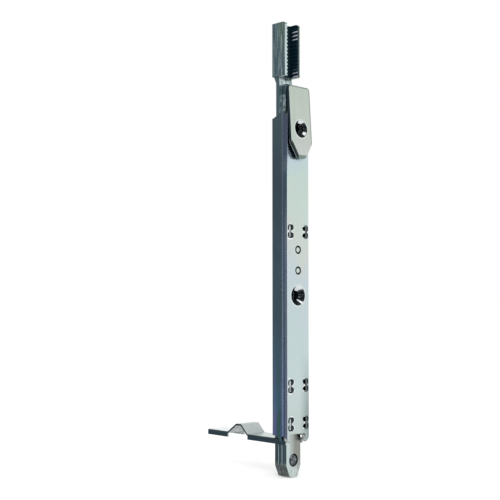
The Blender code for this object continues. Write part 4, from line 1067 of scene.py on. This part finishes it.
def tent_cloth():
    """Bright cloth and dark flags round the object, in four rings from the floor up."""
    g = Graph("tent_cloth")
    unit = g.tree.nodes.new("ShaderNodeVectorMath")
    unit.operation = "NORMALIZE"
    g.link(g.coords, unit.inputs[0])
    along, depth, up = (g.part_of(unit.outputs[0], axis) for axis in "XYZ")
    turn = g.scale_range(g.math("ARCTAN2", depth, along), -math.pi, math.pi)
    rise = g.scale_range(g.math("ARCSINE", up), -math.pi / 2, math.pi / 2)
    colour = g.ramp(turn, TENT_LEVEL)
    colour = g.mix(g.scale_range(rise, *TENT_HIGH_FROM), colour, g.ramp(turn, TENT_HIGH))
    colour = g.mix(g.scale_range(rise, *TENT_ABOVE_FROM), colour, g.ramp(turn, TENT_ABOVE))
    colour = g.mix(g.scale_range(rise, *TENT_BELOW_FROM), colour, g.ramp(turn, TENT_BELOW))
    g.fill(g.shader.inputs["Base Color"], BLACK)
    g.fill(g.shader.inputs["Specular IOR Level"], 0.0)
    g.link(colour, g.shader.inputs["Emission Color"])
    g.fill(g.shader.inputs["Emission Strength"], 1.0)
    return g.material


def studio_tent():
    """The tent that the bright metal mirrors, and that nothing else sees."""
    mesh = bmesh.new()
    bmesh.ops.create_icosphere(mesh, subdivisions=4, radius=TENT_RADIUS)
    tent = mesh_object("tent", mesh, tent_cloth())
    bpy.context.scene.collection.objects.link(tent)
    tent.visible_camera = False
    tent.visible_diffuse = False
    tent.visible_shadow = False
    tent.visible_transmission = False


def key_light():
    """A square lamp in front, to the left and above, which the metal doesn't mirror."""
    lamp = bpy.data.lights.new("key", "AREA")
    lamp.shape = "RECTANGLE"
    lamp.size, lamp.size_y = KEY_SIZE
    lamp.energy = KEY_POWER
    key = bpy.data.objects.new("key", lamp)
    aim(key, KEY_PLACE, Vector(KEY_TARGET) - Vector(KEY_PLACE), "-Z")
    key.visible_glossy = False


def studio_world():
    """White behind everything, and a little less light than that on the object."""
    world = bpy.data.worlds.new("studio")
    bpy.context.scene.world = world
    world.use_nodes = True
    tree = world.node_tree
    tree.nodes.clear()
    output = tree.nodes.new("ShaderNodeOutputWorld")
    choose = tree.nodes.new("ShaderNodeMixShader")
    tree.links.new(seen_directly(tree), choose.inputs["Fac"])
    for socket, strength in ((1, AMBIENT), (2, BACKDROP)):
        light = tree.nodes.new("ShaderNodeBackground")
        light.inputs["Color"].default_value = (*WHITE, 1.0)
        light.inputs["Strength"].default_value = strength
        tree.links.new(light.outputs[0], choose.inputs[socket])
    tree.links.new(choose.outputs[0], output.inputs["Surface"])


def photo_camera():
    """The camera of the photograph."""
    data = bpy.data.cameras.new("camera")
    data.lens = CAMERA_LENS
    data.sensor_width = CAMERA_SENSOR
    data.clip_start = CAMERA_CLIP
    camera = bpy.data.objects.new("camera", data)
    looks = Vector((math.sin(CAMERA_YAW), math.cos(CAMERA_YAW), math.tan(CAMERA_PITCH)))
    aim(camera, CAMERA_PLACE, looks, "-Z")
    bpy.context.scene.camera = camera


studio_floor()
studio_tent()
key_light()
studio_world()
photo_camera()
bpy.context.scene.view_settings.view_transform = "Standard"
